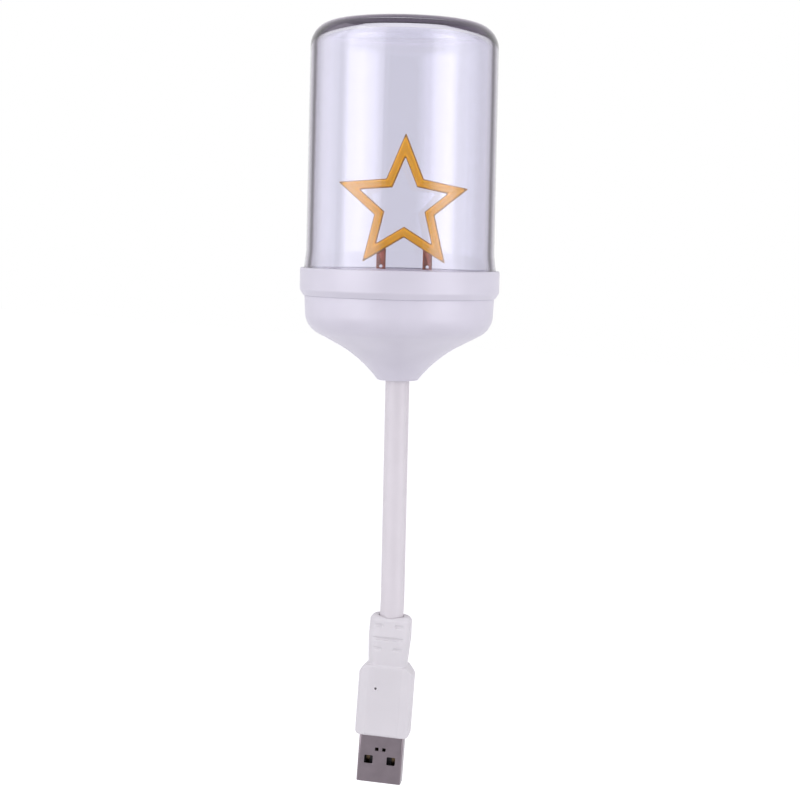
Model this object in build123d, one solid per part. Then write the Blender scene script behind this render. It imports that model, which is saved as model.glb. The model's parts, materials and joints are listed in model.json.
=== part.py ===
from build123d import *
import os
from math import asin, atan2, cos, degrees, hypot, pi, radians, sin, tan

# A USB night light: a clear dome over a star-shaped LED filament, on a bending hose with a USB-A plug.
# Millimetres. The origin is the centre of the plug's seat face, +Z runs along the plug to the lamp,
# +X along the plug's wide side, and -Y is the side that the star faces.

# Flat sides in place of round ones, which keep each piece's mesh light
lamp_sides = 56              # dome, collar, cup and floor, all in step so that their gaps hold
inner_sides = 24             # sleeve, ferrule and board, and the holes round them
small_sides = 10             # screws, posts, solder joints and their holes
lead_sides = 6
hose_sides = 12

# Fits and gaps
slip = 0.05                  # radial gap where one rigid piece slides into another
mould_gap = 0.03             # gap between a moulding and what it was moulded round
seat_gap = 0.05              # gap at a shoulder that carries nothing
neck_gap = 0.1               # radial gap round the sleeve at the cup's lower end

# Plug shell, bent from sheet
shell_width = 12.0
shell_depth = 4.5
shell_sheet = 0.3
shell_corner = 0.6
shell_reach = 13.1           # bare length below the seat face
shell_buried = 6.0
window_width = 2.3
window_height = 2.2
window_spacing = 6.1
window_from_tip = 5.1
lance_width = 2.9
lance_height = 0.9
lance_from_tip = 8.7
lance_tab_share = 0.35       # of the lance's width that its bent tab takes
seam_width = 0.15

# Contact carrier and contacts
carrier_gap = 0.05
carrier_recess = 0.5         # from the shell's tip to the tongue's tip
tongue_thickness = 1.85
carrier_block_front = 1.5    # how far the thick block reaches below the seat face
carrier_back_gap = 0.4
contact_width = 1.0
contact_thickness = 0.25
contact_proud = 0.1
contact_tip_gap = 1.2
contact_pitch_inner = 2.0
contact_pitch_outer = 2.5
contact_tail = 2.4           # behind the carrier block

# Plug grip and strain relief
grip_width = 14.7
grip_depth = 8.0
grip_panel = 8.8             # width of the flat panel on the front and back
grip_side_depth = 5.4        # depth where the facets meet the sides
grip_side_rounding = 1.6
grip_height = 17.1
grip_corner = 1.0            # rounding of the grip's outline at its foot and shoulders
grip_edge = 0.7              # rounding of the front and back edges
shoulder_height = 2.2
grip_shoulder_width = 10.6    # where the shoulders meet the strain relief
relief_width = 11.3          # at its widest, level with the middle slots
relief_depth = 8.0
relief_corner = 3.3
relief_low_taper = 3.5       # degrees, down to the shoulders
relief_high_taper = 1.5      # degrees, up to the top
relief_top = 32.6            # height of its upper end above the seat face
relief_bevel = 0.9
relief_corner_bands = 4      # flat bands round each upright edge
slot_height = 0.8
slot_depth = 0.6
slot_full_width = 8.8
slot_web = 3.2
slot_low = 24.0
slot_middle = 26.8
slot_high = 30.3
gate_dimple_radius = 0.25
gate_dimple_depth = 0.3
gate_dimple_x = -2.3
gate_dimple_z = 13.1

# Hard inner body of the plug
inner_width = 12.9
inner_depth = 5.8
inner_corner = 1.9
inner_bottom = 0.9
inner_top = 16.2
lead_room_width = 9.6
lead_room_depth = 3.4

# Metal hose, its sleeve and the two leads
hose_radius = 2.35
hose_bore = 1.25
ball_radius = 1.95
ball_gap = 0.04
ball_neck_radius = 1.55
socket_below_centre = 0.6
socket_bands = 2
ball_bands = 2
hose_shoulder_clear = 0.35
hinge_count = 10
hinge_reach = 18.0           # degrees each way at one hinge
arm_length = 63.2            # from the relief's top to the cup's lower end
ball_end_start = 12.6        # height where the lower end piece starts, in the inner body
sleeve_radius = 3.15
sleeve_bore = 2.5
sleeve_start_gap = 0.2       # above the inner body
lead_radius = 0.5
lead_offset = 0.56
lead_soldered = 1.3          # length of lead along the contact's tail
solder_film = 0.1            # between the lead and the contact
solder_cover = 0.25          # round the other sides of the lead
lead_rise = 0.9
lead_gather = 0.8            # how far below the hose the leads have come together
lead_turn_low = 2.2
lead_turn_high = 3.4
lead_straight_high = 1.2
lead_drop_at_board = 2.2
lead_above_board = 0.3
lamp_lean = 3.0              # degrees that the lamp leans towards -X, as it was left bent

# Cup, in heights above its lower end
cup_bottom_radius = 5.35
cup_side_inset = 0.25        # of the cup's side from the dome's foot
cup_rim_inset = 0.75         # of the rim inside the collar
cup_rim_wall = 2.4
cup_side_draft = 0.2
cup_side_low = 17.6
cup_shoulder_radius = 6.3
cup_shoulder_turn = 62.0     # degrees
cup_cone_length = 5.7
cup_step = 21.9              # where the collar sits
cup_top = 25.0
cup_floor_radius = 10.34     # of the flat floor inside, from where a cone rises to the bore
neck_bore_height = 4.0
shoulder_bands = 4
funnel_bands = 5

# Anchor and clamp plate at the arm's upper end
anchor_wall = 0.75
anchor_flange_radius = 4.7
anchor_flange_height = 1.2
anchor_flange_low = 7.8
plate_length = 17.4
plate_width = 9.0
plate_height = 1.2
plate_screw_x = 6.8
plate_bore_gap = 0.15
stub_above_floor = 1.6

# Screws, all four alike
screw_radius = 0.95
screw_length = 5.0
screw_head_radius = 1.8
screw_head_height = 1.0
screw_slot_width = 0.5
screw_slot_depth = 0.5

# Driver board
board_radius = 15.5
board_thickness = 1.2
board_bottom = 19.6
board_screw_y = 12.6
board_hole_gap = 0.15
post_radius = 2.4
post_sunk = 0.1
resistor_length = 3.2
resistor_width = 1.6
resistor_height = 0.6
resistor_x = 1.0
resistor_y = -6.0
solder_height = 0.7
solder_radius = 1.1
solder_tip_radius = 0.7
lead_pad_x = 3.0
lead_pad_y = 5.0

# Dome and collar, with all radii from the dome's foot
dome_foot_radius = 25.15
dome_flare = 0.5             # how far the wall is drawn in above the foot
dome_draft = 0.3             # how far it is drawn in from there to the top corner
dome_lip = 0.3               # how far the lip stands out from the foot
dome_wall = 1.65
dome_top_wall = 3.5
dome_top = 92.4
dome_corner = 6.3
dome_corner_bands = 5
dome_inner_bands = 3
dome_flare_start = 33.3
dome_flare_end = 29.2
dome_flare_bands = 2
collar_wall = 0.65           # outside the lip's pocket
collar_top = 29.1
collar_bevel = 0.4
collar_chamfer_height = 1.6
collar_chamfer_depth = 0.95
collar_ledge = 1.9           # how far below its top the collar's inner lip ends

# Floor plate
floor_top = 28.9
floor_thickness = 1.6
floor_gap = 0.1
leg_slot_gap = 0.12

# Filament star, with its centre beside the lamp's axis
star_centre_x = 0.85
star_centre_height = 45.8
star_points = 5
star_reach = 18.7            # centre to an outer tip
star_right_reach = 17.2      # the tip at +X is bent in a little
star_right_droop = 3.0       # degrees
star_notch_reach = 8.4
strip_width = 2.4
strip_thickness = 0.3
bead_margin = 0.22           # bare edge of the strip beside the bead
bead_height = 0.8
bead_chamfer = 0.3
back_bead_height = 0.6
back_bead_chamfer = 0.25
chips_per_limb = 2
chip_length = 0.8
chip_width = 0.45
chip_height = 0.2

# Filament legs
leg_width = 2.45
leg_thickness = 0.4
leg_half_spacing = 6.15
leg_centre_x = 1.0
leg_top = 35.6
leg_hole_height = 29.7
leg_hole_radius = 0.45
leg_tail_width = 1.2
leg_tail_top = 25.4
leg_below_board = 0.5
leg_bead_gap = 0.1

# Values that follow from those above
hinge_pitch = arm_length / hinge_count
first_hinge = relief_top + hinge_pitch / 2
cup_bottom = arm_length - hinge_pitch / 2          # along the leaning arm, from the first hinge
bend_radius = hinge_pitch / 2 / tan(radians(lamp_lean / 2))
hinge_swing = socket_below_centre * cos(radians(hinge_reach)) + hose_radius * sin(radians(hinge_reach))
hose_shoulder = hinge_swing + hose_shoulder_clear  # how far below a ball's centre the hose is full again
sleeve_start = inner_top + sleeve_start_gap
cup_floor = anchor_flange_low + anchor_flange_height
sleeve_end = cup_floor + plate_height / 2
stub_top = cup_floor + stub_above_floor
anchor_radius = sleeve_radius + mould_gap + anchor_wall
board_top = board_bottom + board_thickness
dome_radius_low = dome_foot_radius - dome_flare
dome_radius_top = dome_radius_low - dome_draft
dome_lip_radius = dome_foot_radius + dome_lip
collar_pocket = dome_lip_radius + slip
collar_radius = collar_pocket + collar_wall
cup_side_radius = dome_foot_radius - cup_side_inset
cup_rim_radius = dome_foot_radius - cup_rim_inset
cup_inner_radius = cup_rim_radius - cup_rim_wall
collar_bottom = cup_step + seat_gap
ledge_height = collar_top - collar_ledge
floor_radius = dome_foot_radius - dome_wall - floor_gap
floor_underside = floor_top - floor_thickness
strip_back = strip_thickness / 2
leg_middle_y = strip_back + leg_thickness / 2
leg_xs = (leg_centre_x - leg_half_spacing, leg_centre_x + leg_half_spacing)
contact_outer_x = contact_pitch_inner / 2 + contact_pitch_outer
contact_inner_x = contact_pitch_inner / 2
contact_xs = (-contact_outer_x, -contact_inner_x, contact_inner_x, contact_outer_x)
carrier_back = shell_buried - carrier_back_gap
tail_end = carrier_back + contact_tail
shell_inner_depth = shell_depth - 2 * shell_sheet
shell_inner_width = shell_width - 2 * shell_sheet
tongue_face_y = shell_inner_depth / 2 - carrier_gap - tongue_thickness
contact_face_y = tongue_face_y - contact_proud
contact_mid_y = contact_face_y + contact_thickness / 2
lead_tail_y = contact_face_y - solder_film - lead_radius


def on_arm(shape, distance):
    """Moves a shape from the origin to a place along the leaning arm, measured from the first hinge."""
    return Location((0, 0, first_hinge), (0, -lamp_lean, 0)) * Pos(0, 0, distance) * shape


def on_lamp(shape):
    """Moves a shape from the lamp's own frame, whose origin is the centre of the cup's lower end."""
    return on_arm(shape, cup_bottom)


def lamp_point(x, y, height):
    """A point of the lamp's own frame, as a point of the plug's frame."""
    lean = radians(lamp_lean)
    along = cup_bottom + height
    return (x * cos(lean) - along * sin(lean), y, first_hinge + x * sin(lean) + along * cos(lean))


def block(width, depth, low, high, x=0.0, y=0.0):
    """A box between two heights, centred on x and y."""
    return Pos(x, y, low) * extrude(Rectangle(width, depth), high - low)


def rounded_block(width, depth, corner, low, high):
    """A box between two heights, with rounded upright edges."""
    return Pos(0, 0, low) * extrude(RectangleRounded(width, depth, corner), high - low)


def peg(radius, low, high, x=0.0, y=0.0, sides=small_sides):
    """A flat-sided pin between two heights, with its corners on the given radius."""
    return Pos(x, y, low) * extrude(RegularPolygon(radius, sides), high - low)


def peg_hole(radius, low, high, x=0.0, y=0.0, sides=small_sides):
    """A flat-sided hole between two heights, whose flats clear the given radius."""
    return Pos(x, y, low) * extrude(RegularPolygon(radius, sides, major_radius=False), high - low)


def panels_between(low, high):
    """The flat panels between two rings of equally many points."""
    corners = [(low[side - 1], low[side], high[side], high[side - 1]) for side in range(len(low))]
    return [Face(Wire.make_polygon(panel)) for panel in corners]


def ring_of(radius, z, sides):
    """The corners of a flat-sided ring round Z."""
    turns = [2 * pi * side / sides for side in range(sides)]
    return [(radius * cos(turn), radius * sin(turn), z) for turn in turns]


def turned(outline, sides=lamp_sides):
    """A flat-sided solid round Z, from a closed outline of radii and heights that its corners lie on."""
    panels = []
    for (radius, z), (next_radius, next_z) in zip(outline, outline[1:] + outline[:1]):
        outer, inner = max(radius, next_radius), min(radius, next_radius)
        if z != next_z and outer > 0:
            panels += panels_between(ring_of(radius, z, sides), ring_of(next_radius, next_z, sides))
        elif z == next_z:
            holes = [Wire.make_polygon(ring_of(inner, z, sides))] if inner > 0 else []
            panels.append(Face(Wire.make_polygon(ring_of(outer, z, sides)), holes))
    return Solid(Shell(panels))


def flat_sided(outline, sides, hollow=False):
    """A flat-sided bar from radii at rising heights, with its corners on them, or its flats if hollow."""
    reach = 1 / cos(pi / sides) if hollow else 1
    points = [(reach * radius, z) for radius, z in outline]
    return turned([(0, points[0][1]), *points, (0, points[-1][1])], sides)


def bend(start, end, heading, bands):
    """Points along the arc from start to end that leaves start at a heading in degrees."""
    across, rise = end[0] - start[0], end[1] - start[1]
    leave = radians(heading)
    half = atan2(rise, across) - leave
    points = []
    for band in range(bands + 1):
        part = half * band / bands
        reach = hypot(across, rise) * sin(part) / sin(half)
        points.append((start[0] + reach * cos(leave + part), start[1] + reach * sin(leave + part)))
    return points


def softened(outline, corners, radius):
    """A closed side outline with some of its corners rounded, as a face."""
    face = make_face(outline.edges())
    picked = [v for v in face.vertices() if any((v.center() - Vector(*c)).length < slip for c in corners)]
    return fillet(picked, radius)


def save(shape, node):
    """Writes one piece as its own file."""
    export_step(shape, f"parts/{node}.step")


# Plug


def make_shell():
    """A bent tube with two windows in each wide wall, a lance in front and a seam behind."""
    inner_corner = shell_corner - shell_sheet
    shell = rounded_block(shell_width, shell_depth, shell_corner, -shell_reach, shell_buried)
    shell -= rounded_block(shell_inner_width, shell_inner_depth, inner_corner, -shell_reach, shell_buried)
    window_low = window_from_tip - shell_reach
    for side in (-1, 1):
        x = side * window_spacing / 2
        shell -= block(window_width, 2 * shell_depth, window_low, window_low + window_height, x)
    front = (shell_sheet - shell_depth) / 2
    lance_low = lance_from_tip - shell_reach
    shell -= block(lance_width, 2 * shell_sheet, lance_low, lance_low + lance_height, 0, front)
    shell += block(lance_width * lance_tab_share, shell_sheet, lance_low, lance_low + lance_height, 0, front)
    shell -= block(seam_width, 2 * shell_sheet, -shell_reach, shell_buried, 0, -front)
    return shell


def make_carrier():
    """The insulating body: a thick block at the back and a thin tongue that carries the contacts."""
    width = shell_inner_width - 2 * carrier_gap
    depth = shell_inner_depth - 2 * carrier_gap
    tongue_low = carrier_recess - shell_reach
    tongue_y = tongue_face_y + tongue_thickness / 2
    carrier = block(width, tongue_thickness, tongue_low, carrier_back, 0, tongue_y)
    carrier += block(width, depth, -carrier_block_front, carrier_back)
    carrier &= rounded_block(width, depth, shell_corner - shell_sheet, tongue_low, carrier_back)
    for x in contact_xs:
        groove_low = contact_tip_gap - shell_reach
        carrier -= block(contact_width, contact_thickness, groove_low, carrier_back, x, contact_mid_y)
    return carrier


def make_contacts():
    """Four flat strips in the tongue's grooves, with tails behind the block."""
    low = contact_tip_gap - shell_reach
    return [block(contact_width, contact_thickness, low, tail_end, x, contact_mid_y) for x in contact_xs]


def make_plug_solder():
    """The joints of the two leads on the outer contacts' tails."""
    joints = []
    low = tail_end - lead_soldered
    width = 2 * (lead_radius + solder_cover)
    depth = solder_film + 2 * lead_radius + solder_cover
    for x in (-contact_outer_x, contact_outer_x):
        joint = block(width, depth, low, tail_end, x, contact_face_y - depth / 2)
        joints.append(joint - peg_hole(lead_radius + mould_gap, low, tail_end, x, lead_tail_y, lead_sides))
    return joints


def grip_front_outline():
    """The grip and its shoulders as seen from the front."""
    half, top = grip_width / 2, grip_height + shoulder_height
    foot = grip_shoulder_width / 2
    points = [(-half, 0), (half, 0), (half, grip_height), (foot, top), (-foot, top), (-half, grip_height)]
    corners = [(-half, 0), (half, 0), (half, grip_height), (-half, grip_height)]
    return softened(Polyline(*points, close=True), corners, grip_corner)


def grip_side_outline():
    """The grip as seen from the side."""
    half, top = grip_depth / 2, grip_height + shoulder_height
    foot = [(-half, 0), (half, 0)]
    return softened(Polyline(*foot, (half, top), (-half, top), close=True), foot, grip_edge)


def grip_plan():
    """The grip's section: flat panels front and back, with facets that fall to rounded sides."""
    right = [
        (grip_panel / 2, -grip_depth / 2),
        (grip_width / 2, -grip_side_depth / 2),
        (grip_width / 2, grip_side_depth / 2),
        (grip_panel / 2, grip_depth / 2),
    ]
    left = [(-x, y) for x, y in reversed(right)]
    sides = [point for point in right + left if abs(point[1]) < grip_depth / 2]
    return softened(Polyline(*right, *left, close=True), sides, grip_side_rounding)


def relief_ring(z, drawn_in):
    """The strain relief's outline at one height, drawn in all round from its widest."""
    radius = relief_corner - drawn_in
    points = []
    for quarter, (right, back) in enumerate(((1, 1), (-1, 1), (-1, -1), (1, -1))):
        x, y = right * (relief_width / 2 - relief_corner), back * (relief_depth / 2 - relief_corner)
        for band in range(relief_corner_bands + 1):
            turn = radians(90 * (quarter + band / relief_corner_bands))
            points.append((x + radius * cos(turn), y + radius * sin(turn), z))
    return points


def make_relief():
    """The strain relief: it tapers down and up from its middle slots and is bevelled at its top."""
    low, bevel_low = grip_height + shoulder_height, relief_top - relief_bevel
    taper_high = (bevel_low - slot_middle) * tan(radians(relief_high_taper))
    rings = [
        relief_ring(low, (slot_middle - low) * tan(radians(relief_low_taper))),
        relief_ring(slot_middle, 0),
        relief_ring(bevel_low, taper_high),
        relief_ring(relief_top, taper_high + relief_bevel),
    ]
    panels = [Face(Wire.make_polygon(rings[0])), Face(Wire.make_polygon(rings[-1]))]
    for lower, upper in zip(rings, rings[1:]):
        panels += panels_between(lower, upper)
    return Solid(Shell(panels))


def relief_slots():
    """Short and long slots in turn, cut into the front and back of the strain relief."""
    slots = []
    short = (slot_full_width - slot_web) / 2
    short_x = (slot_full_width + slot_web) / 4
    for side in (-1, 1):
        y = side * relief_depth / 2
        span = 2 * slot_depth
        rows = [(slot_middle, slot_full_width, 0)]
        rows += [(z, short, x) for z in (slot_low, slot_high) for x in (-short_x, short_x)]
        for z, width, x in rows:
            slots.append(block(width, span, z - slot_height / 2, z + slot_height / 2, x, y))
    return slots


def shell_room(low, high):
    """The room that the mouldings leave for the shell between two heights."""
    width, depth = shell_width + 2 * mould_gap, shell_depth + 2 * mould_gap
    return rounded_block(width, depth, shell_corner + mould_gap, low, high)


def make_grip():
    """The grip with its shoulders and slotted strain relief, moulded in one over the inner body."""
    deep, wide = 2 * grip_depth, 2 * grip_width
    grip = extrude(grip_plan(), grip_height + shoulder_height)
    grip &= extrude(Plane.XZ * grip_front_outline(), deep, both=True)
    grip &= extrude(Plane.YZ * grip_side_outline(), wide, both=True)
    grip += make_relief()
    for slot in relief_slots():
        grip -= slot
    grip -= shell_room(0, inner_bottom)
    grip -= rounded_block(inner_width, inner_depth, inner_corner, inner_bottom, inner_top)
    grip -= peg_hole(sleeve_radius + mould_gap, inner_top, relief_top, sides=inner_sides)
    dimple = Plane.XZ.offset(grip_depth / 2 - gate_dimple_depth) * Pos(gate_dimple_x, gate_dimple_z)
    grip -= extrude(dimple * RegularPolygon(gate_dimple_radius, small_sides), 2 * gate_dimple_depth)
    return grip


def make_inner_body():
    """The hard body behind the shell, with room for the contact tails and the leads."""
    body = rounded_block(inner_width, inner_depth, inner_corner, inner_bottom, inner_top)
    shell_end = shell_buried + mould_gap
    body -= shell_room(inner_bottom, shell_end)
    body -= block(lead_room_width, lead_room_depth, shell_end, ball_end_start)
    body -= peg_hole(hose_radius + mould_gap, ball_end_start, inner_top, sides=hose_sides)
    return body


# Metal hose


def socket_outline(centre):
    """The inside of a socket, from its rim up to the bore, as bands that clear the ball."""
    near = ball_radius + ball_gap
    rim = 90 + degrees(asin(socket_below_centre / near))
    top = degrees(asin(hose_bore / near))
    step = (rim - top) / socket_bands
    corner = near / cos(radians(step / 2))
    points = []
    for turn in range(socket_bands + 1):
        angle = radians(rim - turn * step)
        points.append((corner * sin(angle), centre + corner * cos(angle)))
    points[-1] = (hose_bore, points[-1][1])
    return points


def ball_outline(centre):
    """The outside from the full hose up over a ball's neck to the rim of its bore."""
    neck = 180 - degrees(asin(ball_neck_radius / ball_radius))
    top = degrees(asin(hose_bore / ball_radius))
    step = (neck - top) / ball_bands
    angles = [radians(neck - turn * step) for turn in range(ball_bands + 1)]
    ball = [(ball_radius * sin(angle), centre + ball_radius * cos(angle)) for angle in angles]
    return [(hose_radius, centre - hose_shoulder)] + ball


def make_ball_end():
    """The lower end of the hose, held in the plug, with the first ball on top."""
    outside = [(hose_radius, ball_end_start)] + ball_outline(first_hinge)
    bore = [(hose_bore, ball_end_start), (hose_bore, outside[-1][1])]
    return flat_sided(outside, hose_sides) - flat_sided(bore, hose_sides, hollow=True)


def make_link():
    """One link: a socket round the ball below, and a ball for the next one."""
    socket = socket_outline(0)
    outside = [(hose_radius, socket[0][1])] + ball_outline(hinge_pitch)
    inside = socket + [(hose_bore, outside[-1][1])]
    return flat_sided(outside, hose_sides) - flat_sided(inside, hose_sides, hollow=True)


def make_socket_end():
    """The upper end of the hose, held in the cup, with the last socket below."""
    top = cup_bottom + stub_top - (hinge_count - 1) * hinge_pitch
    socket = socket_outline(0)
    outside = [(hose_radius, socket[0][1]), (hose_radius, top)]
    inside = socket + [(hose_bore, top)]
    return flat_sided(outside, hose_sides) - flat_sided(inside, hose_sides, hollow=True)


def bar_along(points, radii, section):
    """A bar with the given section, along straight runs joined by tangent arcs."""
    path = FilletPolyline(*points, radius=radii)
    return sweep(Plane(path @ 0, z_dir=path % 0) * section, path)


def make_sleeve():
    """The soft sleeve over the whole hose, with the arm's slight rest bend."""
    points = [(0, 0, sleeve_start), (0, 0, first_hinge), lamp_point(0, 0, sleeve_end)]
    bore = RegularPolygon(sleeve_bore, hose_sides, major_radius=False)
    outside = RegularPolygon(sleeve_radius, inner_sides)
    return bar_along(points, bend_radius, outside) - bar_along(points, bend_radius, bore)


def make_lead(side):
    """One lead from its contact up through the hose to its pad on the board."""
    half_lean = radians(lamp_lean / 2)
    x = side * lead_offset
    contact_x = side * contact_outer_x
    pad_x = side * lead_pad_x
    points = [
        (contact_x, lead_tail_y, tail_end - lead_soldered),
        (contact_x, lead_tail_y, tail_end + lead_rise),
        (x, 0, ball_end_start - lead_gather),
        (x, 0, first_hinge + x * tan(half_lean)),
        lamp_point(x, 0, stub_top + lead_straight_high),
        lamp_point(pad_x, lead_pad_y, board_bottom - lead_drop_at_board),
        lamp_point(pad_x, lead_pad_y, board_top + lead_above_board),
    ]
    radii = [lead_turn_low, lead_turn_low, bend_radius, lead_turn_high, lead_turn_high]
    return bar_along(points, radii, RegularPolygon(lead_radius, lead_sides))


# Cup and what it holds


def make_cup():
    """The funnel-shaped cup: a straight side, a round shoulder and a hollow cone down to the arm."""
    turn = radians(cup_shoulder_turn)
    low_radius = cup_side_radius - cup_side_draft
    centre = low_radius - cup_shoulder_radius
    side_low = (low_radius, cup_side_low)
    cone_top = (centre + cup_shoulder_radius * cos(turn), cup_side_low - cup_shoulder_radius * sin(turn))
    cone_low = (cone_top[0] - cup_cone_length * sin(turn), cone_top[1] - cup_cone_length * cos(turn))
    down = -90
    inner_corner = cup_floor + (cup_inner_radius - cup_floor_radius) / tan(turn)
    cup = turned([
        *bend(side_low, cone_top, down, shoulder_bands),
        *bend(cone_low, (cup_bottom_radius, 0), down - cup_shoulder_turn, funnel_bands),
        (0, 0),
        (0, cup_floor),
        (cup_floor_radius, cup_floor),
        (cup_inner_radius, inner_corner),
        (cup_inner_radius, cup_top),
        (cup_rim_radius, cup_top),
        (cup_rim_radius, cup_step),
        (cup_side_radius, cup_step),
    ])
    room = [
        (sleeve_radius + neck_gap, 0),
        (sleeve_radius + neck_gap, neck_bore_height),
        (anchor_radius + slip, neck_bore_height),
        (anchor_radius + slip, anchor_flange_low),
        (anchor_flange_radius + slip, anchor_flange_low),
        (anchor_flange_radius + slip, cup_floor),
    ]
    cup -= flat_sided(room, inner_sides)
    for side in (-1, 1):
        y = side * board_screw_y
        cup += peg(post_radius, cup_floor - post_sunk, board_bottom, 0, y)
        cup -= peg_hole(screw_radius + mould_gap, board_top - screw_length - seat_gap, board_bottom, 0, y)
        plate_top = cup_floor + plate_height
        hole_low = plate_top - screw_length - seat_gap
        cup -= peg_hole(screw_radius + mould_gap, hole_low, plate_top, side * plate_screw_x)
    return cup


def make_anchor():
    """The flanged ferrule on the sleeve's end that keeps the arm from pulling out of the cup."""
    bore = sleeve_radius + mould_gap
    low = neck_bore_height + seat_gap
    outline = [
        (bore, low),
        (anchor_radius, low),
        (anchor_radius, anchor_flange_low),
        (anchor_flange_radius, anchor_flange_low),
        (anchor_flange_radius, cup_floor),
        (bore, cup_floor),
    ]
    return turned(outline, inner_sides)


def make_clamp_plate():
    """The plate that two screws press on the ferrule's flange."""
    top = cup_floor + plate_height
    plate = block(plate_length, plate_width, cup_floor, top)
    plate -= peg_hole(sleeve_radius + plate_bore_gap, cup_floor, top, sides=inner_sides)
    for side in (-1, 1):
        plate -= peg_hole(screw_radius + slip, cup_floor, top, side * plate_screw_x)
    return plate


def make_screw():
    """A slotted screw with its head's seat at height zero."""
    screw = peg(screw_radius, -screw_length, 0) + peg(screw_head_radius, 0, screw_head_height)
    slot_low = screw_head_height - screw_slot_depth
    return screw - block(2 * screw_head_radius, screw_slot_width, slot_low, screw_head_height)


def make_screws():
    """Two screws hold the clamp plate, and two the board."""
    plate_top = cup_floor + plate_height
    places = [Pos(side * plate_screw_x, 0, plate_top) for side in (-1, 1)]
    places += [Pos(0, side * board_screw_y, board_top) for side in (-1, 1)]
    return [place * make_screw() for place in places]


def make_board():
    """The round board, with slots for the legs and holes for the leads and screws."""
    board = peg(board_radius, board_bottom, board_top, sides=inner_sides)
    for side in (-1, 1):
        board -= peg_hole(screw_radius + board_hole_gap, board_bottom, board_top, 0, side * board_screw_y)
        board -= peg_hole(lead_radius + slip, board_bottom, board_top, side * lead_pad_x, lead_pad_y)
    for x in leg_xs:
        width, depth = leg_tail_width + 2 * slip, leg_thickness + 2 * slip
        board -= block(width, depth, board_bottom, board_top, x, leg_middle_y)
    return board


def make_resistor():
    """The chip resistor that sets the filament's current."""
    return block(
        resistor_length, resistor_width, board_top, board_top + resistor_height, resistor_x, resistor_y
    )


def make_board_solder():
    """Joints under the board for the legs, and on top of it for the leads."""
    joints = []
    low, high = board_bottom - solder_height, board_top + solder_height
    for x in leg_xs:
        heap = flat_sided([(solder_tip_radius, low), (solder_radius, board_bottom)], small_sides)
        tail = block(leg_tail_width, leg_thickness, low, board_bottom)
        joints.append(Pos(x, leg_middle_y) * (heap - tail))
    for side in (-1, 1):
        heap = flat_sided([(solder_radius, board_top), (solder_tip_radius, high)], small_sides)
        heap -= peg_hole(lead_radius + mould_gap, board_top, board_top + lead_above_board + mould_gap)
        joints.append(Pos(side * lead_pad_x, lead_pad_y) * heap)
    return joints


# Dome, collar and floor


def make_dome():
    """The clear cover: a drafted wall, a round-cornered flat top and a flared foot with a lip."""
    foot_inner = dome_foot_radius - dome_wall
    corner_centre = dome_radius_top - dome_corner
    inner_corner = dome_corner - dome_wall
    ceiling = dome_top - dome_top_wall
    outer_side = dome_top - dome_corner
    lip_top = ledge_height - seat_gap
    up, outwards, down = 90, 0, -90

    inner_side = (corner_centre + inner_corner, ceiling - inner_corner)
    flare_low = (dome_foot_radius, dome_flare_end)
    flare = bend((dome_radius_low, dome_flare_start), flare_low, down, dome_flare_bands)
    return turned([
        (0, ceiling),
        *bend((corner_centre, ceiling), inner_side, outwards, dome_inner_bands),
        (dome_radius_low - dome_wall, dome_flare_start),
        (foot_inner, dome_flare_end),
        (foot_inner, cup_top),
        (dome_lip_radius, cup_top),
        (dome_lip_radius, lip_top),
        (dome_foot_radius, lip_top),
        *reversed(flare),
        *bend((dome_radius_top, outer_side), (corner_centre, dome_top), up, dome_corner_bands),
        (0, dome_top),
    ])


def make_collar():
    """The ring that holds the dome's lip down on the cup's rim."""
    lower_bore = cup_rim_radius + slip
    mouth = dome_foot_radius + slip
    step = cup_top - seat_gap
    return turned([
        (lower_bore, collar_bottom),
        (collar_radius - collar_chamfer_depth, collar_bottom),
        (collar_radius, collar_bottom + collar_chamfer_height),
        (collar_radius, collar_top - collar_bevel),
        (collar_radius - collar_bevel, collar_top),
        (mouth, collar_top),
        (mouth, ledge_height),
        (collar_pocket, ledge_height),
        (collar_pocket, step),
        (lower_bore, step),
    ])


def make_floor():
    """The white disc below the star, on a skirt that stands on the cup's rim."""
    plate = turned([
        (0, floor_underside),
        (cup_inner_radius, floor_underside),
        (cup_inner_radius, cup_top),
        (floor_radius, cup_top),
        (floor_radius, floor_top),
        (0, floor_top),
    ])
    for x in leg_xs:
        width, depth = leg_width + 2 * leg_slot_gap, leg_thickness + 2 * leg_slot_gap
        plate -= block(width, depth, floor_underside, floor_top, x, leg_middle_y)
    return plate


# Filament


def star_outline():
    """The star's outer corners: tips and notches in turn, from the top tip round by -X."""
    points = []
    for index in range(star_points):
        direction, reach = 90 + index * 360 / star_points, star_reach
        if index == star_points - 1:
            direction, reach = direction - star_right_droop, star_right_reach
        notch = 90 + (index + 0.5) * 360 / star_points
        points.append((reach * cos(radians(direction)), reach * sin(radians(direction))))
        points.append((star_notch_reach * cos(radians(notch)), star_notch_reach * sin(radians(notch))))
    return make_face(Polyline(*points, close=True).edges())


def star_band(outer_inset, inner_inset):
    """The band between two insets of the star's outline."""
    outline = star_outline()
    outer = offset(outline, -outer_inset, kind=Kind.INTERSECTION) if outer_inset else outline
    return outer - offset(outline, -inner_inset, kind=Kind.INTERSECTION)


def in_star(shape):
    """Moves a shape from the star's centre to its place over the floor."""
    return Pos(star_centre_x, 0, star_centre_height) * shape


def make_strip():
    """The flat strip of the filament."""
    return in_star(extrude(Plane.XZ * star_band(0, strip_width), strip_thickness / 2, both=True))


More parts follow.
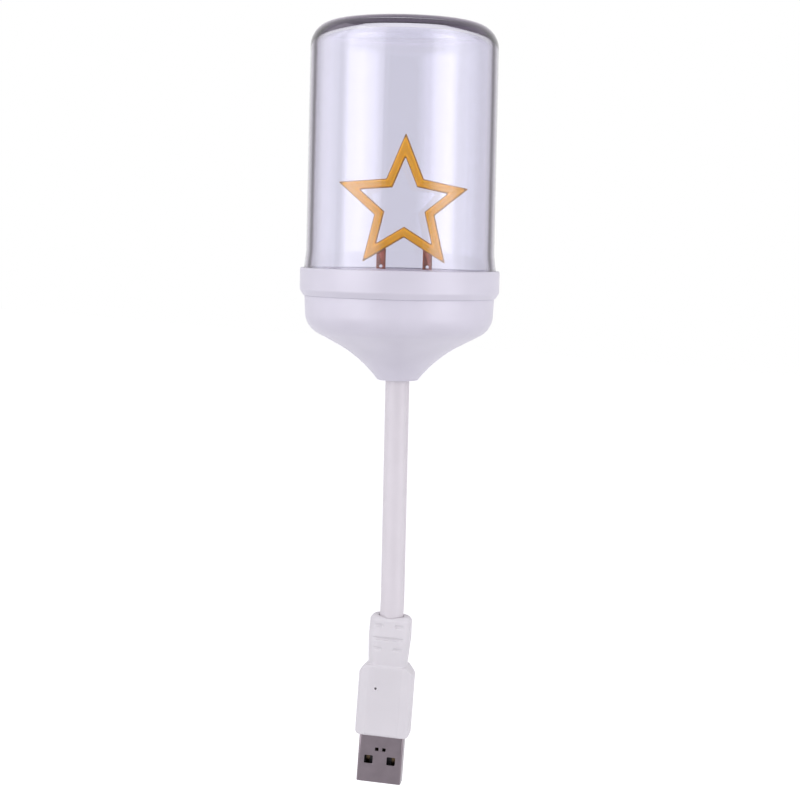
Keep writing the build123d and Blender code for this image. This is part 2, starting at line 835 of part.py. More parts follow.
def make_chips():
    """The chips along the middle of each limb, on the strip's front."""
    chips = []
    middle = offset(star_outline(), -strip_width / 2, kind=Kind.INTERSECTION)
    for limb in middle.edges():
        for index in range(chips_per_limb):
            share = (index + 1) / (chips_per_limb + 1)
            along = limb % share
            place = Plane(limb @ share, x_dir=along, z_dir=(0, 0, 1))
            flat = place * Rectangle(chip_length, chip_width)
            chips.append(in_star(extrude(Plane.XZ.offset(strip_back) * flat, chip_height)))
    return chips


def bead(height, bevel, front):
    """A bead along the strip with bevelled edges, on its front or its back."""
    band = star_band(bead_margin, strip_width - bead_margin)
    solid = extrude(band, height)
    solid = chamfer(solid.faces().sort_by(Axis.Z)[-1].edges(), bevel)
    turn = Plane.XZ if front else Plane((0, 0, 0), x_dir=(-1, 0, 0), z_dir=(0, 1, 0))
    if not front:
        solid = mirror(solid, Plane.YZ)
    return in_star(turn.offset(strip_back) * solid)


def make_front_bead(chips):
    solid = bead(bead_height, bead_chamfer, True)
    for chip in chips:
        solid -= chip
    return solid


def make_back_bead():
    """The bead behind the strip, left open where the legs are joined to it."""
    solid = bead(back_bead_height, back_bead_chamfer, False)
    for x in leg_xs:
        width = leg_width + 2 * leg_bead_gap
        solid -= block(width, 2 * grip_depth, floor_top, leg_top + leg_bead_gap, x, 0)
    return solid


def make_leg(x):
    """A flat leg behind the strip, with a hole above the floor and a tail through the board."""
    leg = block(leg_width, leg_thickness, leg_tail_top, leg_top, x, leg_middle_y)
    leg += block(leg_tail_width, leg_thickness, board_bottom - leg_below_board, leg_tail_top, x, leg_middle_y)
    hole = Plane.XZ * Pos(x, leg_hole_height) * RegularPolygon(leg_hole_radius, small_sides)
    return leg - extrude(hole, 2 * leg_middle_y, both=True)


os.makedirs("parts", exist_ok=True)

save(make_shell(), "usb_shell")
save(make_carrier(), "contact_carrier")
save(Compound(make_contacts()), "usb_contacts")
save(Compound(make_plug_solder()), "plug_solder")
save(make_grip(), "plug_overmould")
save(make_inner_body(), "plug_inner_mould")

save(make_ball_end(), "hose_ball_end")
for index in range(hinge_count - 1):
    save(on_arm(make_link(), index * hinge_pitch), f"hose_link_{index + 1:02d}")
save(on_arm(make_socket_end(), (hinge_count - 1) * hinge_pitch), "hose_socket_end")
save(make_sleeve(), "hose_sleeve")
save(make_lead(1), "lead_positive")
save(make_lead(-1), "lead_negative")

save(on_lamp(make_cup()), "base_cup")
save(on_lamp(make_anchor()), "hose_anchor")
save(on_lamp(make_clamp_plate()), "clamp_plate")
save(on_lamp(Compound(make_screws())), "housing_screws")
save(on_lamp(make_board()), "driver_board")
save(on_lamp(make_resistor()), "series_resistor")
save(on_lamp(Compound(make_board_solder())), "board_solder")
save(on_lamp(make_dome()), "dome_cover")
save(on_lamp(make_collar()), "collar_ring")
save(on_lamp(make_floor()), "floor_plate")

chips = make_chips()
save(on_lamp(make_strip()), "star_substrate")
save(on_lamp(Compound(chips)), "led_chips")
save(on_lamp(make_front_bead(chips)), "phosphor_front")
save(on_lamp(make_back_bead()), "phosphor_back")
for name, x in zip(("left", "right"), leg_xs):
    save(on_lamp(make_leg(x)), f"filament_leg_{name}")
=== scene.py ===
"""The looks of a USB night light: clear dome, star filament, white cup, bending arm and plug."""

import json
import math

import bmesh
import bpy
from bpy.props import FloatProperty, FloatVectorProperty, IntProperty, PointerProperty
from bpy.types import NodeSocket, Operator, Panel, PropertyGroup
from mathutils import Matrix, Vector

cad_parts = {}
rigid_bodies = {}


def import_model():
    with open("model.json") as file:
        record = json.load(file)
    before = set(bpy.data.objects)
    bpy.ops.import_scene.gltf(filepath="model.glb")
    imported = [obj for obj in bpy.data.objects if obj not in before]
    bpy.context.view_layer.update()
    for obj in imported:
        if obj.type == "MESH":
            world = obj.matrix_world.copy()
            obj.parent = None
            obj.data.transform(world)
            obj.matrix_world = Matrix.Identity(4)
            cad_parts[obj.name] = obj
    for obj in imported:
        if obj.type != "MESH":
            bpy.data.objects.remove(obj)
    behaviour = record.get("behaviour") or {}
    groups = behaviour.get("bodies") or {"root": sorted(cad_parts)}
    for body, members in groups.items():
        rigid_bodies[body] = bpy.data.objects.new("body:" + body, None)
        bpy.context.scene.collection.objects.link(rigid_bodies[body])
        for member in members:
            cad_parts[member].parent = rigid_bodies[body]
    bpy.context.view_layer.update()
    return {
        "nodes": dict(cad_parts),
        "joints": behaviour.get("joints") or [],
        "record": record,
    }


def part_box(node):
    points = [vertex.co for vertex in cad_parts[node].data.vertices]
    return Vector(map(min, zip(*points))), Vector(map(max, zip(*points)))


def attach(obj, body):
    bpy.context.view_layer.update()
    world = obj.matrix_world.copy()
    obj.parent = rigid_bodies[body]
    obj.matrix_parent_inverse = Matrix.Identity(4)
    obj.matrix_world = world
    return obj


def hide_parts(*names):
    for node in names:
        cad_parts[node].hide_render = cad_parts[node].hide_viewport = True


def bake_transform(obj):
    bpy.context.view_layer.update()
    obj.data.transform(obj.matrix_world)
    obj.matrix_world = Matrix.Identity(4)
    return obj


bl_info = {
    "name": "Star Filament Night Light",
    "version": (1, 0, 0),
    "blender": (4, 5, 0),
    "location": "View3D > Sidebar > Night Light",
    "description": "Builds a USB night light round its construction, with its materials and its stage",
    "category": "Add Mesh",
}

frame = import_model()

MM = 0.001

# The arm bends at a row of hinges, and the lamp's own frame stands at the cup's lower end, half a pitch
# above the last of them
HINGES = [Vector(joint["pos_m"]) for joint in frame["joints"]]
BODIES = [joint["parent"] for joint in frame["joints"]] + [frame["joints"][-1]["child"]]
ARM = (HINGES[-1] - HINGES[0]).normalized()
PITCH = (HINGES[-1] - HINGES[0]).length / (len(HINGES) - 1)
UP = Vector((0, 0, 1))
LAMP = Matrix.Translation(HINGES[-1] + ARM * PITCH / 2) @ UP.rotation_difference(ARM).to_matrix().to_4x4()
PLUG, HEAD = BODIES[0], BODIES[-1]
LEADS = ("lead_positive", "lead_negative")

# Turns a flat outline upright, so that its thickness runs towards the front
STAND = Matrix.Rotation(math.pi / 2, 4, "X")

# Painted shade in the dome's round corner: how dark it is painted, and how strongly its painted glow shows,
# by the degrees that its skin has turned from upright
CROWN_PAINTED_SHADE = [(0.0, 0.0), (30.0, 0.0), (50.0, 0.4), (62.0, 1.0), (80.0, 1.0), (90.0, 0.3)]

# The photograph's view, worked out from the leans of the plug and the lamp and from the dome's rim
CAMERA_AZIMUTH = math.radians(8.0)
CAMERA_ELEVATION = math.radians(5.92)
CAMERA_ROLL = math.radians(4.27)
CAMERA_LENS = 73.8
CAMERA_TARGET_HEIGHT = -5.4 * MM
CAMERA_ASIDE = 0.793 * MM
CAMERA_DISTANCE = 433.6 * MM


def linear(code):
    """An sRGB hex colour as the linear values that a shader takes."""
    channels = [int(code[start:start + 2], 16) / 255 for start in (1, 3, 5)]
    return (*[c / 12.92 if c <= 0.04045 else ((c + 0.055) / 1.055) ** 2.4 for c in channels], 1.0)


def length(millimetres, name):
    """A length that a user may change, written in millimetres and kept in metres."""
    return FloatProperty(name=name, default=millimetres * MM, unit="LENGTH", subtype="DISTANCE")


def turn(degrees, name):
    """An angle that a user may change, written in degrees and kept in radians."""
    return FloatProperty(name=name, default=math.radians(degrees), unit="ROTATION", subtype="ANGLE")


def colour(code, name):
    """A colour that a user may change."""
    return FloatVectorProperty(name=name, default=linear(code), size=4, subtype="COLOR", min=0.0, max=1.0)


class LampSizes(PropertyGroup):
    """The cup, the dome and what closes them, in heights above the cup's lower end."""

    cup_bottom_radius: length(5.35, "Radius of the cup where the arm enters it")
    cup_side_radius: length(24.9, "Radius of the cup below the collar")
    cup_side_low: length(17.6, "Height where the shoulder ends and the side begins")
    cup_shoulder: length(6.3, "Radius of the round shoulder below the side")
    cup_cone_turn: turn(62.0, "Slope of the cone below the shoulder, from the side's direction")
    cup_cone_length: length(5.7, "Length of the straight part of the cone")
    cup_step: length(21.9, "Height of the step that the collar sits on")
    rim_radius: length(24.4, "Radius of the rim inside the collar")
    rim_top: length(25.0, "Height of the rim that the dome stands on")
    cup_bore: length(22.0, "Inner radius of the cup")
    collar_radius: length(26.15, "Outer radius of the collar")
    collar_top: length(29.1, "Height of the collar's upper face")
    dome_top: length(92.4, "Height of the dome's flat top")
    dome_radius_top: length(24.35, "Radius of the dome's wall at the upper corner")
    dome_radius_low: length(24.65, "Radius of the dome's wall above the flare")
    dome_flare_start: length(33.3, "Height where the dome's foot begins to flare")
    dome_foot_radius: length(25.15, "Radius of the flared foot")
    dome_lip_radius: length(25.45, "Radius of the lip under the collar")
    dome_corner: length(6.3, "Radius of the dome's round upper corner")
    dome_inner_corner: length(3.4, "Radius of the corner between the wall and the ceiling")
    dome_wall: length(1.65, "Thickness of the dome's wall")
    dome_top_wall: length(3.0, "Thickness of the dome's flat top")
    floor_top: length(28.9, "Height of the white disc below the star")
    floor_radius: length(23.4, "Radius of the white disc")


class StarSizes(PropertyGroup):
    """The filament and its two legs."""

    points: IntProperty(name="Number of the star's tips", default=5, min=3, max=12)
    centre_x: length(0.85, "How far the star's centre is beside the lamp's axis")
    centre_height: length(45.8, "Height of the star's centre")
    reach: length(18.7, "From the centre to a tip")
    bent_reach: length(17.2, "From the centre to the tip that is bent in a little")
    bent_droop: turn(3.0, "How far that tip is turned down")
    notch_reach: length(8.4, "From the centre to a notch between two tips")
    strip_width: length(2.4, "Width of the flat strip")
    strip_thickness: length(0.3, "Thickness of the flat strip")
    bead_margin: length(0.22, "Bare edge of the strip beside the bead")
    bead_height: length(0.8, "How far the front bead stands off the strip")
    back_bead_height: length(0.6, "How far the back bead stands off the strip")
    tip_rounding: length(0.35, "Rounding of the bead's tips and notches")
    chips_per_limb: IntProperty(name="Chips on each limb", default=2, min=1, max=12)
    leg_left: length(-5.15, "Where the left leg stands")
    leg_right: length(7.15, "Where the right leg stands")
    leg_width: length(2.45, "Width of a leg above the floor")
    leg_thickness: length(0.4, "Thickness of a leg's sheet")
    leg_top: length(35.6, "Height of a leg's upper end")
    leg_hole_height: length(29.7, "Height of the hole in a leg")
    leg_hole_radius: length(0.45, "Radius of that hole")


class PlugSizes(PropertyGroup):
    """The plug's grip, its strain relief and its shell, in heights above the seat face."""

    grip_width: length(14.7, "Width of the grip")
    grip_depth: length(8.0, "Depth of the grip between its two flat panels")
    grip_panel: length(8.8, "Width of the flat panel on the front and back")
    grip_side_depth: length(5.4, "Depth where the facets meet the sides")
    grip_height: length(17.1, "Height where the shoulders begin")
    grip_corner: length(1.0, "Rounding of the outline at the foot and the shoulders")
    grip_edge: length(0.7, "Rounding of the front and back edges at the foot")
    gate_radius: length(0.34, "Radius of the small hole that the mould's gate left in the front")
    gate_depth: length(1.3, "Depth of that hole")
    gate_aside: length(2.3, "From the grip's middle to that hole")
    gate_height: length(13.1, "Height of that hole")
    shoulder_top: length(19.3, "Height where the shoulders meet the strain relief")
    shoulder_width: length(10.6, "Width of the grip at that height")
    relief_width: length(11.3, "Width of the strain relief at its middle slots")
    relief_depth: length(8.0, "Depth of the strain relief at its middle slots")
    relief_corner: length(3.3, "Rounding of the strain relief's upright edges")
    relief_middle: length(26.8, "Height of the middle slots")
    relief_top: length(32.6, "Height of the strain relief's upper end")
    relief_bevel: length(0.9, "Bevel round the strain relief's upper end")
    slot_height: length(0.8, "Height of a slot")
    slot_depth: length(0.6, "Depth of a slot")
    slot_width: length(8.8, "Width of a row of slots")
    slot_web: length(3.2, "What stands between the two slots of a short row")
    slot_low: length(24.0, "Height of the lower short row")
    slot_high: length(30.3, "Height of the upper short row")
    shell_width: length(12.0, "Width of the metal shell")
    shell_depth: length(4.5, "Depth of the metal shell")
    shell_sheet: length(0.3, "Thickness of the shell's sheet")
    shell_corner: length(0.6, "Outer bend radius of the shell's corners")
    shell_reach: length(13.1, "Bare length of the shell below the seat face")
    window_width: length(2.3, "Width of a latch window")
    window_height: length(2.2, "Height of a latch window")
    window_spacing: length(6.1, "Between the middles of the two windows")
    window_low: length(5.1, "From the shell's tip to a window's lower edge")
    lance_width: length(2.9, "Width of the bent lance in the front")
    lance_height: length(0.9, "Height of the lance's opening")
    lance_low: length(8.7, "From the shell's tip to the lance")


class ArmSizes(PropertyGroup):
    """The sleeve over the bending hose."""

    sleeve_radius: length(3.15, "Outer radius of the sleeve")
    sleeve_bore: length(2.5, "Inner radius of the sleeve")
    rings: IntProperty(name="Rings along one length of sleeve", default=14, min=4, max=64)


class Finishes(PropertyGroup):
    """The colours of the light's materials."""

    housing: colour("#D9D6E0", "Moulded cup and collar")
    floor: colour("#D6D2DC", "Moulded disc inside the dome")
    sleeve: colour("#DDD8DB", "Soft sleeve of the arm")
    grip: colour("#DEDBDD", "Soft overmould of the plug")
    dome: colour("#E7E6F0", "Clear moulded cover")
    # Colour of the painted violet glow in the cover's thick corner
    crown: colour("#4A3F52", "Light that the cover's thick corner gives back")
    bead: colour("#EDA80C", "Orange silicone over the chips")
    bead_edge: colour("#A8681A", "The same silicone where it thins to its edge")
    strip: colour("#B98A45", "Bare edge of the filament's strip")
    leg: colour("#95543F", "Copper-plated sheet of the legs")
    # Painted shade: darker than bare nickel, standing in for the dark room that the shell's face mirrors
    shell: colour("#80777C", "Nickel-plated sheet of the plug's shell")


class StageSizes(PropertyGroup):
    """The floor, the lamps' strength and the room's light."""

    floor_drop: length(90.0, "How far the floor lies below the plug's tip")
    floor_reach: length(3000.0, "Half the width of the floor")
    floor_glow: FloatProperty(name="What brings the lit floor up to white", default=0.56)
    room: FloatProperty(name="Strength of the room's light on the object", default=0.62)
    mirrored: FloatProperty(name="Strength of the softboxes that the dome mirrors", default=3.6)
    unlit: FloatProperty(name="Light from behind the camera, in reflections", default=0.45)
    fill: FloatProperty(name="Strength of the soft lights on the matt pieces", default=0.9)


# Outlines and meshes


def rounded(corners, steps=8):
    """A run of points with an arc at each corner, from corners given as (x, y) or (x, y, radius)."""
    points = []
    for index, corner in enumerate(corners):
        here = Vector(corner[:2])
        radius = corner[2] if len(corner) > 2 else 0.0
        before = Vector(corners[index - 1][:2])
        after = Vector(corners[(index + 1) % len(corners)][:2])
        to_before, to_after = (before - here).normalized(), (after - here).normalized()
        half = to_before.angle(to_after) / 2
        if radius <= 0 or half > math.radians(89.9):
            points.append(here)
            continue
        reach = radius / math.tan(half)
        centre = here + (to_before + to_after).normalized() * radius / math.sin(half)
        start, end = here + to_before * reach - centre, here + to_after * reach - centre
        sweep = math.pi - 2 * half
        side = 1 if start.x * end.y - start.y * end.x > 0 else -1
        for step in range(steps + 1):
            points.append(centre + Matrix.Rotation(side * sweep * step / steps, 2) @ start)
    return points


def new_mesh(vertices, faces):
    """A mesh from points and faces, with doubled points merged and its faces turned outwards."""
    mesh = bpy.data.meshes.new("shape")
    mesh.from_pydata([tuple(v) for v in vertices], [], faces)
    shape = bmesh.new()
    shape.from_mesh(mesh)
    bmesh.ops.remove_doubles(shape, verts=shape.verts, dist=1e-7)
    bmesh.ops.recalc_face_normals(shape, faces=shape.faces)
    shape.to_mesh(mesh)
    shape.free()
    return mesh


def loft(rings, closed=False):
    """A skin over rings of equally many points, with flat ends, or joined end to end if closed."""
    count = len(rings[0])
    vertices = [point for ring in rings for point in ring]
    faces = []
    for level in range(len(rings) if closed else len(rings) - 1):
        low, high = level * count, (level + 1) % len(rings) * count
        for index in range(count):
            after = (index + 1) % count
            faces.append((low + index, low + after, high + after, high + index))
    if not closed:
        faces.append(tuple(range(count)))
        faces.append(tuple(range(len(vertices) - count, len(vertices))))
    return new_mesh(vertices, faces)


def circle(radius, sides, x=0.0, y=0.0):
    """A round outline about a middle point."""
    angles = [2 * math.pi * side / sides for side in range(sides)]
    return [(x + radius * math.cos(a), y + radius * math.sin(a)) for a in angles]


def lathe(outline, sides=160):
    """A turned body from an outline of radii and heights, closed on itself or ending on the axis twice."""
    on_axis = outline[0][0] == 0
    mesh = loft([flat(circle(radius, sides), height) for radius, height in outline], closed=not on_axis)
    if on_axis:
        shape = bmesh.new()
        shape.from_mesh(mesh)
        bmesh.ops.dissolve_degenerate(shape, edges=shape.edges, dist=1e-8)
        bmesh.ops.recalc_face_normals(shape, faces=shape.faces)
        shape.to_mesh(mesh)
        shape.free()
    return mesh


def flat(outline, height, place=Matrix.Identity(4)):
    """A flat outline as points in space, at a height above its own plane."""
    return [place @ Vector((point[0], point[1], height)) for point in outline]


def slab(outline, low, high, place=Matrix.Identity(4)):
    """A flat outline given a thickness along its own Z."""
    return loft([flat(outline, height, place) for height in (low, high)])


def box_outline(width, depth, radius=0.0, x=0.0, y=0.0):
    """A rectangle round a middle point, with rounded corners."""
    half_width, half_depth = width / 2, depth / 2
    signs = ((-1, -1), (1, -1), (1, 1), (-1, 1))
    return rounded([(x + half_width * a, y + half_depth * b, radius) for a, b in signs])


def joined(meshes):
    """Several meshes as one."""
    shape = bmesh.new()
    for mesh in meshes:
        shape.from_mesh(mesh)
    whole = bpy.data.meshes.new("joined")
    shape.to_mesh(whole)
    shape.free()
    return whole


def placed(name, data):
    """A new object in the scene."""
    made = bpy.data.objects.new(name, data)
    bpy.context.scene.collection.objects.link(made)
    return made


def finished(mesh, *steps):
    """A mesh after modifiers, given as (type, settings); a node tree's inputs go by their identifiers."""
    worker = placed("worker", mesh)
    for kind, settings in steps:
        modifier = worker.modifiers.new(kind, kind)
        for name, value in settings.items():
            if hasattr(modifier, name):
                setattr(modifier, name, value)
            else:
                modifier[name] = value
    graph = bpy.context.evaluated_depsgraph_get()
    result = bpy.data.meshes.new_from_object(worker.evaluated_get(graph))
    bpy.data.objects.remove(worker)
    return result


def eased(mesh, width):
    """A mesh with its sharp edges rounded a little."""
    return finished(mesh, ("BEVEL", {"width": width, "segments": 2, "limit_method": "ANGLE"}))


def combined(mesh, tool, operation):
    """A mesh after a boolean operation with another."""
    helper = placed("helper", tool)
    result = finished(mesh, ("BOOLEAN", {"operation": operation, "solver": "EXACT", "object": helper}))
    bpy.data.objects.remove(helper)
    return result


def piece(name, mesh, material, body, replaces=(), sharp=35.0, place=None, flat_walls=False):
    """A finished piece of the light: its mesh, material and body, and the nodes it stands for.

    With flat_walls, faces that stand square to the axes are shaded flat."""
    square_enough = 0.9999
    if place is not None:
        mesh.transform(place)
    mesh.name = name
    mesh.materials.clear()
    mesh.materials.append(material)
    mesh.set_sharp_from_angle(angle=math.radians(sharp))
    square = [flat_walls and max(map(abs, face.normal)) > square_enough for face in mesh.polygons]
    mesh.polygons.foreach_set("use_smooth", [not stays_flat for stays_flat in square])
    if flat_walls:
        mesh.update()
    made = placed(name, mesh)
    if body:
        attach(made, body)
    if replaces:
        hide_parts(*replaces)
    return made


# Materials


def feed(tree, node, inputs):
    """Gives a node its inputs, as values or as other nodes' sockets."""
    for name, value in inputs.items():
        if isinstance(value, NodeSocket):
            tree.links.new(value, node.inputs[name])
        else:
            node.inputs[name].default_value = value


def add(tree, kind, inputs=None, output=None, stops=(), **settings):
    """Adds a node with its settings, inputs and ramp stops, and gives the named output, or the node."""
    node = tree.nodes.new(kind)
    for name, value in settings.items():
        setattr(node, name, value)
    feed(tree, node, inputs or {})
    for index, (position, value) in enumerate(stops):
        elements = node.color_ramp.elements
        element = elements[index] if index < 2 else elements.new(position)
        element.position, element.color = position, value
    return node if output is None else node.outputs[output]


def per_mm(size):
    """The scale of a pattern whose features are so many millimetres across."""
    return 1 / (size * MM)


def new_material(name):
    """An empty node material, its tree, its surface shader and the piece's own coordinates."""
    material = bpy.data.materials.new(name)
    material.use_nodes = True
    tree = material.node_tree
    tree.nodes.clear()
    shader = add(tree, "ShaderNodeBsdfPrincipled")
    add(tree, "ShaderNodeOutputMaterial", {"Surface": shader.outputs["BSDF"]})
    return material, tree, shader, add(tree, "ShaderNodeTexCoord", output="Object")


def shade(base, factor):
    """A colour made lighter or darker by a factor."""
    return (*[min(1.0, channel * factor) for channel in base[:3]], 1.0)


def grained(name, base, sizes, detail, patch, tones, gloss, relief, own):
    """A solid material: a tone that drifts from patch to patch, and a fine pattern in its gloss and relief.

    Sizes, patch and relief's depth are in millimetres, tones are factors, and own is what else it sets."""
    material, tree, shader, where = new_material(name)
    fine = {"Vector": where, "Scale": tuple(per_mm(size) for size in sizes)}
    fine = {"Vector": add(tree, "ShaderNodeMapping", fine, "Vector"), "Scale": 1.0, "Detail": detail}
    fine = add(tree, "ShaderNodeTexNoise", fine, "Fac")
    drift = {"Vector": where, "Scale": per_mm(patch), "Detail": 2.0}
    drift = {"Fac": add(tree, "ShaderNodeTexNoise", drift, "Fac")}
    stops = [(0.3, shade(base, tones[0])), (0.7, shade(base, tones[1]))]
    gloss = {"Value": fine, "To Min": gloss[0], "To Max": gloss[1]}
    relief = {"Height": fine, "Distance": relief[0] * MM, "Strength": relief[1]}
    surface = {
        "Base Color": add(tree, "ShaderNodeValToRGB", drift, "Color", stops),
        "Roughness": add(tree, "ShaderNodeMapRange", gloss, "Result"),
        "Normal": add(tree, "ShaderNodeBump", relief, "Normal"),
    }
    feed(tree, shader, {**surface, **own})
    return material


def moulded(name, base, roughness, grain=0.35):
    """A moulded plastic: fine texture of the tool, and a faint drift of tone as the melt cooled."""
    gloss = (roughness - 0.05, roughness + 0.05)
    return grained(name, base, [grain] * 3, 3.0, 12.0, (0.97, 1.03), gloss, (0.0025, 0.6), {"IOR": 1.5})


def plated(name, base, roughness, brushing=(0.05, 0.05, 2.0)):
    """A plated or rolled metal: fine lines along the rolling direction, and a tone that drifts a little."""
    gloss = (roughness - 0.06, roughness + 0.08)
    return grained(name, base, brushing, 2.0, 3.0, (0.93, 1.05), gloss, (0.001, 0.5), {"Metallic": 1.0})


def polished_clear_acrylic(finishes):
    """Injection-moulded acrylic, polished: clear with a cool cast, with painted shade where its wall is edge
    on and in its thick corner, where it also has a painted violet glow.
    """
    material, tree, shader, where = new_material("polished_clear_acrylic")
    ripple = {"Vector": where, "Scale": per_mm(14.0), "Detail": 1.0}
    bump = {"Height": add(tree, "ShaderNodeTexNoise", ripple, "Fac"), "Distance": 0.02 * MM, "Strength": 0.3}
    facing = add(tree, "ShaderNodeLayerWeight", {"Blend": 0.5}, "Facing")
    leaving = add(tree, "ShaderNodeNewGeometry", output="Backfacing")
    entering = add(tree, "ShaderNodeMapRange", {"Value": leaving, "To Min": 1.0, "To Max": 0.0}, "Result")
    # Painted shade: the glass is tinted darker by how far its skin is turned away from the view, which draws
    # dark bands where a wall is seen edge on
    wall = [(0.0, 1.0), (0.3, 1.0), (0.42, 0.8), (0.54, 0.7), (0.6, 0.45), (0.64, 0.1), (0.66, 0.015)]
    wall += [(0.705, 0.01), (0.75, 0.15), (0.8, 0.3), (0.9, 0.6)]
    # Painted shade in the thick corner, by the same measure
    crown = [(0.0, 1.0), (0.12, 0.95), (0.26, 0.1), (0.36, 0.06), (0.55, 0.06), (0.68, 0.3), (0.85, 0.6)]
    tint_with_painted_shade = finishes.dome
    for skin, stops, green, blue in (("wall", wall, 1.1, 0.95), ("crown", crown, 1.3, 0.9)):
        stops = [(at, (painted_lightness, painted_lightness ** green, painted_lightness ** blue, 1.0)) for at, painted_lightness in stops]
        dimmed = add(tree, "ShaderNodeValToRGB", {"Fac": facing}, "Color", stops)
        dimmed = {"Factor": 1.0, "A": finishes.dome, "B": dimmed}
        dimmed = add(tree, "ShaderNodeMix", dimmed, "Result", data_type="RGBA", blend_type="MULTIPLY")
        skin = add(tree, "ShaderNodeAttribute", output="Fac", attribute_name=skin)
        part = add(tree, "ShaderNodeMath", {0: skin, 1: entering}, "Value", operation="MULTIPLY")
        tint_with_painted_shade = {"Factor": part, "A": tint_with_painted_shade, "B": dimmed}
        tint_with_painted_shade = add(tree, "ShaderNodeMix", tint_with_painted_shade, "Result", data_type="RGBA")
    # Painted glow: the thick corner emits a little violet light, as if it gave back the studio's light that
    # it carries round inside it
    glow = [(0.0, (0, 0, 0, 1)), (1.0, finishes.crown)]
    surface = {
        "Normal": add(tree, "ShaderNodeBump", bump, "Normal"),
        "Base Color": tint_with_painted_shade,
        "Emission Color": add(tree, "ShaderNodeValToRGB", {"Fac": skin}, "Color", glow),
        "Emission Strength": 1.0,
        "Roughness": 0.0,
        "IOR": 1.49,
        "Transmission Weight": 1.0,
    }
    feed(tree, shader, surface)
    return material


def phosphor_silicone(finishes):
    """Silicone filled with phosphor powder, dispensed as a bead: matt orange, browner towards its edges, with
    painted highlights along its shoulders and a faint painted glow.
    """
    material, tree, shader, where = new_material("phosphor_silicone")
    powder = {"Vector": where, "Scale": per_mm(0.25), "Detail": 3.0}
    powder = add(tree, "ShaderNodeTexNoise", powder, "Fac")
    grain = add(tree, "ShaderNodeMapRange", {"Value": powder, "To Min": -0.06, "To Max": 0.06}, "Result")
    across = add(tree, "ShaderNodeAttribute", output="Fac", attribute_name="across")
    depth = add(tree, "ShaderNodeMath", {0: across, 1: grain}, "Value", operation="ADD")
    # Darker towards the edges; painted highlights: lighter bands along both shoulders, a little darker at the
    # crest
    stops = [(0.1, finishes.bead_edge), (0.55, finishes.bead), (0.8, shade(finishes.bead, 1.2))]
    stops += [(0.9, shade(finishes.bead, 1.1)), (0.98, shade(finishes.bead, 0.94))]
    gloss = {"Value": powder, "To Min": 0.38, "To Max": 0.52}
    bump = {"Height": powder, "Distance": 0.01 * MM, "Strength": 0.5}
    surface = {
        "Base Color": add(tree, "ShaderNodeValToRGB", {"Fac": depth}, "Color", stops),
        "Roughness": add(tree, "ShaderNodeMapRange", gloss, "Result"),
        "Normal": add(tree, "ShaderNodeBump", bump, "Normal"),
        "IOR": 1.41,
        # Painted glow: a faint emission in the bead's own colour brightens it
        "Emission Color": finishes.bead,
        "Emission Strength": 0.12,
        "Subsurface Weight": 0.15,
        "Subsurface Radius": (0.6 * MM, 0.3 * MM, 0.1 * MM),
    }
    feed(tree, shader, surface)
    return material


# Pieces of the lamp


def dome_mesh(s):
    """The clear cover: a drafted wall, a round-cornered flat top and a flared foot with a lip."""
    collar_ledge = s.collar_top - 1.95 * MM
    foot_bore = s.dome_foot_radius - s.dome_wall
    flare_end = s.dome_flare_start - 4.1 * MM
    edge, flare_bend = 0.15 * MM, 20 * MM
    outline = [
        (0, s.dome_top - s.dome_top_wall),
        (s.dome_radius_top - s.dome_wall, s.dome_top - s.dome_top_wall, s.dome_inner_corner),
        (s.dome_radius_low - s.dome_wall, s.dome_flare_start, flare_bend),
        (foot_bore, flare_end, 5 * MM),
        (foot_bore, s.rim_top, edge),
        (s.dome_lip_radius, s.rim_top, edge),
        (s.dome_lip_radius, collar_ledge, edge),
        (s.dome_foot_radius, collar_ledge),
        (s.dome_foot_radius, flare_end, 4 * MM),
        (s.dome_radius_low, s.dome_flare_start, flare_bend),
        (s.dome_radius_top, s.dome_top, s.dome_corner),
        (0, s.dome_top),
    ]
    mesh = lathe(rounded(outline, 16), 192)
    # Masks for the dome's painted shade and painted glow, kept as attributes for its material
    skins = [painted_shade_weights(s, vertex.co) for vertex in mesh.vertices]
    for index, name in enumerate(("wall", "crown")):
        values = [skin[index] for skin in skins]
        mesh.attributes.new(name, "FLOAT", "POINT").data.foreach_set("value", values)
    return mesh


def painted_shade_weights(s, point):
    """Weights for the dome's painted shade: how far a point belongs to the outer skin of its wall, and how
    dark its round corner is painted there, which also sets its painted glow.
    """
    centre = Vector((s.dome_radius_top - s.dome_corner, s.dome_top - s.dome_corner))
    beyond, mid_wall = Vector((point.xy.length, point.z)) - centre, s.dome_corner - s.dome_wall / 2
    if beyond.y <= 0:
        return (1.0, 0.0) if beyond.x > mid_wall else (0.0, 0.0)
    if beyond.x <= 0 or beyond.length < mid_wall:
        return 0.0, 0.0
    risen = math.degrees(math.atan2(beyond.y, beyond.x))
    crown = 0.0
    for (low, start), (high, end) in zip(CROWN_PAINTED_SHADE, CROWN_PAINTED_SHADE[1:]):
        if low <= risen <= high:
            crown = start + (end - start) * (risen - low) / (high - low)
    return (1.0 - crown if risen < 45.0 else 0.0), crown


def collar_mesh(s):
    """The ring that holds the dome's lip down, round-edged and drawn in below."""
    gap = 0.05 * MM
    mouth, pocket, bore = s.dome_foot_radius + gap, s.dome_lip_radius + gap, s.rim_radius + gap
    bottom, ledge = s.cup_step - 0.02 * MM, s.collar_top - 1.9 * MM
    drawn_in, side_low = 0.95 * MM, bottom + 1.5 * MM
    outline = [
        (bore, bottom, 0.1 * MM),
        (s.collar_radius - drawn_in, bottom, 0.12 * MM),
        (s.collar_radius, side_low, 1.2 * MM),
        (s.collar_radius, s.collar_top, 0.4 * MM),
        (mouth, s.collar_top, 0.2 * MM),
        (mouth, ledge),
        (pocket, ledge),
        (pocket, s.rim_top),
        (bore, s.rim_top),
    ]
    return lathe(rounded(outline))


